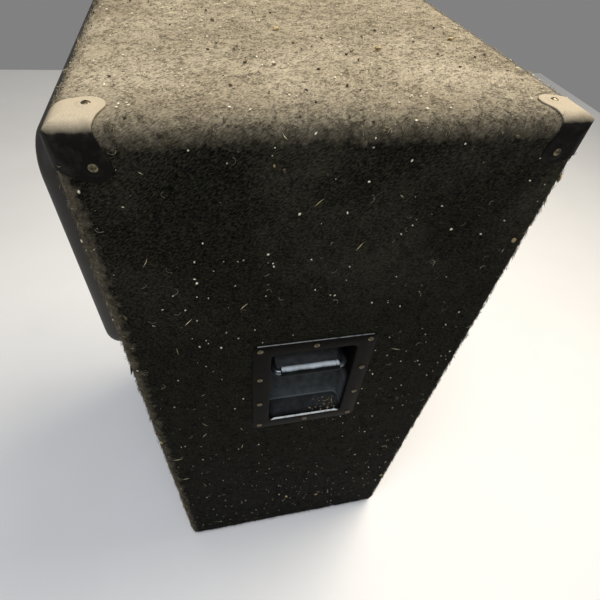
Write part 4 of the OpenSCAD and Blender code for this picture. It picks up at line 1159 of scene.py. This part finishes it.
# a pad that fills a box: axis is its thin way, and it leaves out what isHole names
def makePad(name, low, high, axis, slot, stands, isHole=None):
    pad = pads[slot]
    inset = Vector((pad["loss"],) * 3)
    low, high = low + inset, high - inset
    cuts = [max(1, round(length / pad["step"])) for length in high - low]
    cuts[axis] = 0
    bm = gridBox(low, high, cuts)
    if isHole:
        gone = [f for f in bm.faces if isHole(f.calc_center_median())]
        bmesh.ops.delete(bm, geom=gone, context="FACES")
        bmesh.ops.bridge_loops(bm, edges=boundary(bm))
    bmesh.ops.recalc_face_normals(bm, faces=bm.faces)
    bm.normal_update()
    for v in bm.verts:
        v.co += v.normal * (noise.noise(v.co / pad["grain"]) - 0.4) * pad["lump"]
    piece = makePiece(name, bm, slot, stands=[stands], crease=180)
    soft = piece.modifiers.new("softForm", "SUBSURF")
    soft.levels = soft.render_levels = 1


def byPlate(middle):
    return inPlate(middle, 2 * mm)


makeGrille()
foamLo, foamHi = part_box("grille_foam")
makePad("grilleFoam", foamLo, foamHi, 1, "foam", "grille_foam")
waddings = sorted(islands(nodes["damping_wadding"].data), key=lambda box: box[0].z)
for name, (low, high) in zip(("waddingLower", "waddingUpper", "waddingTop"), waddings):
    size = high - low
    thinWay = min(range(3), key=lambda way: size[way])
    holed = low.z < inputHi.z < high.z
    makePad(name, low, high, thinWay, "wadding", "damping_wadding", byPlate if holed else None)
print("grille, foam and wadding are in")


# drivers: rolls, spiders and the diaphragm's film flex between their frame and what they carry
flexing = {      # piece, body that it follows, radius where it moves fully, radius where it is held
    "upper_surround": ("upperSurround", "upper_cone_body", 152 * mm, 168 * mm),
    "lower_surround": ("lowerSurround", "lower_cone_body", 152 * mm, 168 * mm),
    "upper_spider": ("upperSpider", "upper_cone_body", 40 * mm, 72 * mm),
    "lower_spider": ("lowerSpider", "lower_cone_body", 40 * mm, 72 * mm),
    "diaphragm_suspension": ("diaphragmFilm", "diaphragm_body", 23 * mm, 29 * mm),
}


def makeFlexing(node):
    name, body, inner, outer = flexing[node]
    low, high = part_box(node)
    middle = (low + high) / 2
    slot = next(row["material_slot"] for row in frame["record"]["subparts"] if row["node"] == node)
    piece = makePiece(name, cadCopy(node), slot, body=None, stands=[node], crease=50)
    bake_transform(piece, "root", body, start=middle + Vector((outer, 0, 0)), end=middle + Vector((inner, 0, 0)))
    shares = piece.data.attributes["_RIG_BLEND"].data
    for v in piece.data.vertices:
        radius = math.hypot(v.co.x - middle.x, v.co.z - middle.z)
        share = min(max((outer - radius) / (outer - inner), 0), 1)
        shares[v.index].value = share * share * (3 - 2 * share)


for node in flexing:
    makeFlexing(node)
print("soft driver parts flex")


# level control's printed scale and the knob's pointer
knobLo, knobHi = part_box("level_knob")
scale = {
    "floor": 19 * mm,             # depth of the plate behind the knob's face
    "ticks": 11,
    "sweep": 150,                 # degrees each way
    "inner": 13.5 * mm,
    "outer": 17 * mm,
    "wide": 0.7 * mm,
    "thick": 0.12 * mm,
    "pointer": (1.2 * mm, 8 * mm),
}


# white screen-printed ink: dull, with faint pinholes
def printedInk():
    material, tree, shader, place = newMaterial("whiteScreenInk")
    pinholes = addNode(tree, "TexNoise", {"Vector": place, "Scale": 1 / (0.5 * mm), "Detail": 2.0})
    tone = addNode(tree, "Mix", {0: pinholes, 6: linear("#d8d6cf"), 7: linear("#f0efea")}, out=2,
                   data_type="RGBA")
    normal = addNode(tree, "Bump", {"Height": pinholes, "Distance": 0.03 * mm})
    setInputs(tree, shader, {"Base Color": tone, "Roughness": 0.6, "Normal": normal})
    return material


def makeScale():
    ink = printedInk()
    middle = (knobLo + knobHi) / 2
    spot = Matrix(((-1, 0, 0, middle.x), (0, 0, 1, 0), (0, 1, 0, middle.z), (0, 0, 0, 1)))

    def bar(bm, wide, start, end, thick, base, angle):
        size = Matrix.Diagonal((wide, end - start, thick, 1))
        shift = Matrix.Translation((0, (start + end) / 2, base + thick / 2))
        bmesh.ops.create_cube(bm, size=1, matrix=spot @ Matrix.Rotation(angle, 4, "Z") @ shift @ size)

    bm = bmesh.new()
    for tick in range(scale["ticks"]):
        angle = math.radians(scale["sweep"] * (2 * tick / (scale["ticks"] - 1) - 1))
        bar(bm, scale["wide"], scale["inner"], scale["outer"], scale["thick"], knobHi.y - scale["floor"],
            angle)
    makePiece("levelMarks", bm, "plate_steel", finish=ink)
    bm = bmesh.new()
    wide, long = scale["pointer"]
    bar(bm, wide, 1 * mm, long, 0.3 * mm, knobHi.y - 0.1 * mm, 0)
    bmesh.ops.bevel(bm, geom=bm.edges[:], offset=0.1 * mm, segments=2, profile=0.5, affect="EDGES",
                    material=-1)
    makePiece("knobPointer", bm, "knob_plastic", body="level_knob_body", finish=ink)


makeScale()
print("level scale is printed")


# wear: fibres pulled loose along the edges, and debris in the handles' dishes
wear = {
    "perMetre": 210,              # tufts along an edge
    "loosePerMetre": 44,
    "long": (3 * mm, 10 * mm),
    "stand": 3.4 * mm,            # how far a fibre stands off the sheet
    "debris": 46,
}


def frayed(bm):
    for _ in range(5):
        angle = random.uniform(-1.2, 1.2)
        length = random.uniform(*wear["long"])
        start = Vector((random.uniform(-3, 3), random.uniform(-3, 3), -0.3)) * mm
        end = start + Vector((math.cos(angle), math.sin(angle), 0)) * length
        end.z = random.uniform(0.2, 1) * wear["stand"]
        bend = Vector((0, random.uniform(-1, 1), random.uniform(0, 1))) * 1.2 * mm
        slender(bm, start, end, nap["radius"], bend)


# points along the plain box's edges, each strayed a little round the rounding
def edgeSpots(perMetre):
    low, high = wrapLo, wrapHi
    made = []
    for along in range(3):
        first, second = [way for way in range(3) if way != along]
        for a in (low, high):
            for b in (low, high):
                for _ in range(int((high - low)[along] * perMetre)):
                    point = Vector((0, 0, 0))
                    point[along] = random.uniform(low[along], high[along])
                    point[first], point[second] = a[first], b[second]
                    stray = random.choice((first, second))
                    inwards = 1 if point[stray] < (low[stray] + high[stray]) / 2 else -1
                    point[stray] += inwards * random.uniform(0, 1) ** 2 * carpet["radius"]
                    if not isOpening(point) and not pressed(point):
                        made.append(point)
    return made


def makeWear():
    tufts = [makeForm(frayed) for _ in range(8)]
    looks = (("carpetFringe", wear["perMetre"], finishes["carpet"]),
             ("looseFringe", wear["loosePerMetre"], dryLint("pulledFibre", "#b9ab8c", "#5c5443", 7)))
    for name, perMetre, finish in looks:
        bm = bmesh.new()
        places = edgeSpots(perMetre)
        scatter(bm, tufts, [standing(p, random.gauss(0, 1.1), random.uniform(0.7, 1.2)) for p in places])
        makePiece(name, bm, "carpet", crease=180, finish=finish)
    forms = [makeForm(crumb, lint["crumb"][1]) for _ in range(6)] + [makeForm(straw, lint["straw"][1])]
    dust = dryLint("handleDebris", "#8f7b58", "#3a3024", 3)
    width, height = handle["opening"]
    for side in sides:
        frames = []
        for _ in range(wear["debris"]):
            x = width / 2 - 6 * mm - abs(random.gauss(0, 22 * mm))
            ledge = Vector((x, 0.4 * mm - height / 2, -random.uniform(3 * mm, handle["low"])))
            turn = Matrix.Rotation(-math.pi / 2, 4, "X") @ Matrix.Rotation(random.uniform(0, math.tau), 4,
                                                                           "Z")
            size = Matrix.Scale(random.uniform(0.5, 1.2), 4)
            frames.append(sideFrame(side) @ Matrix.Translation(ledge) @ turn @ size)
        bm = bmesh.new()
        scatter(bm, forms, frames)
        bmesh.ops.recalc_face_normals(bm, faces=bm.faces)
        makePiece("dishDebris" + side.capitalize(), bm, "carpet", crease=60, finish=dust)


makeWear()
print("wear and debris are in place")
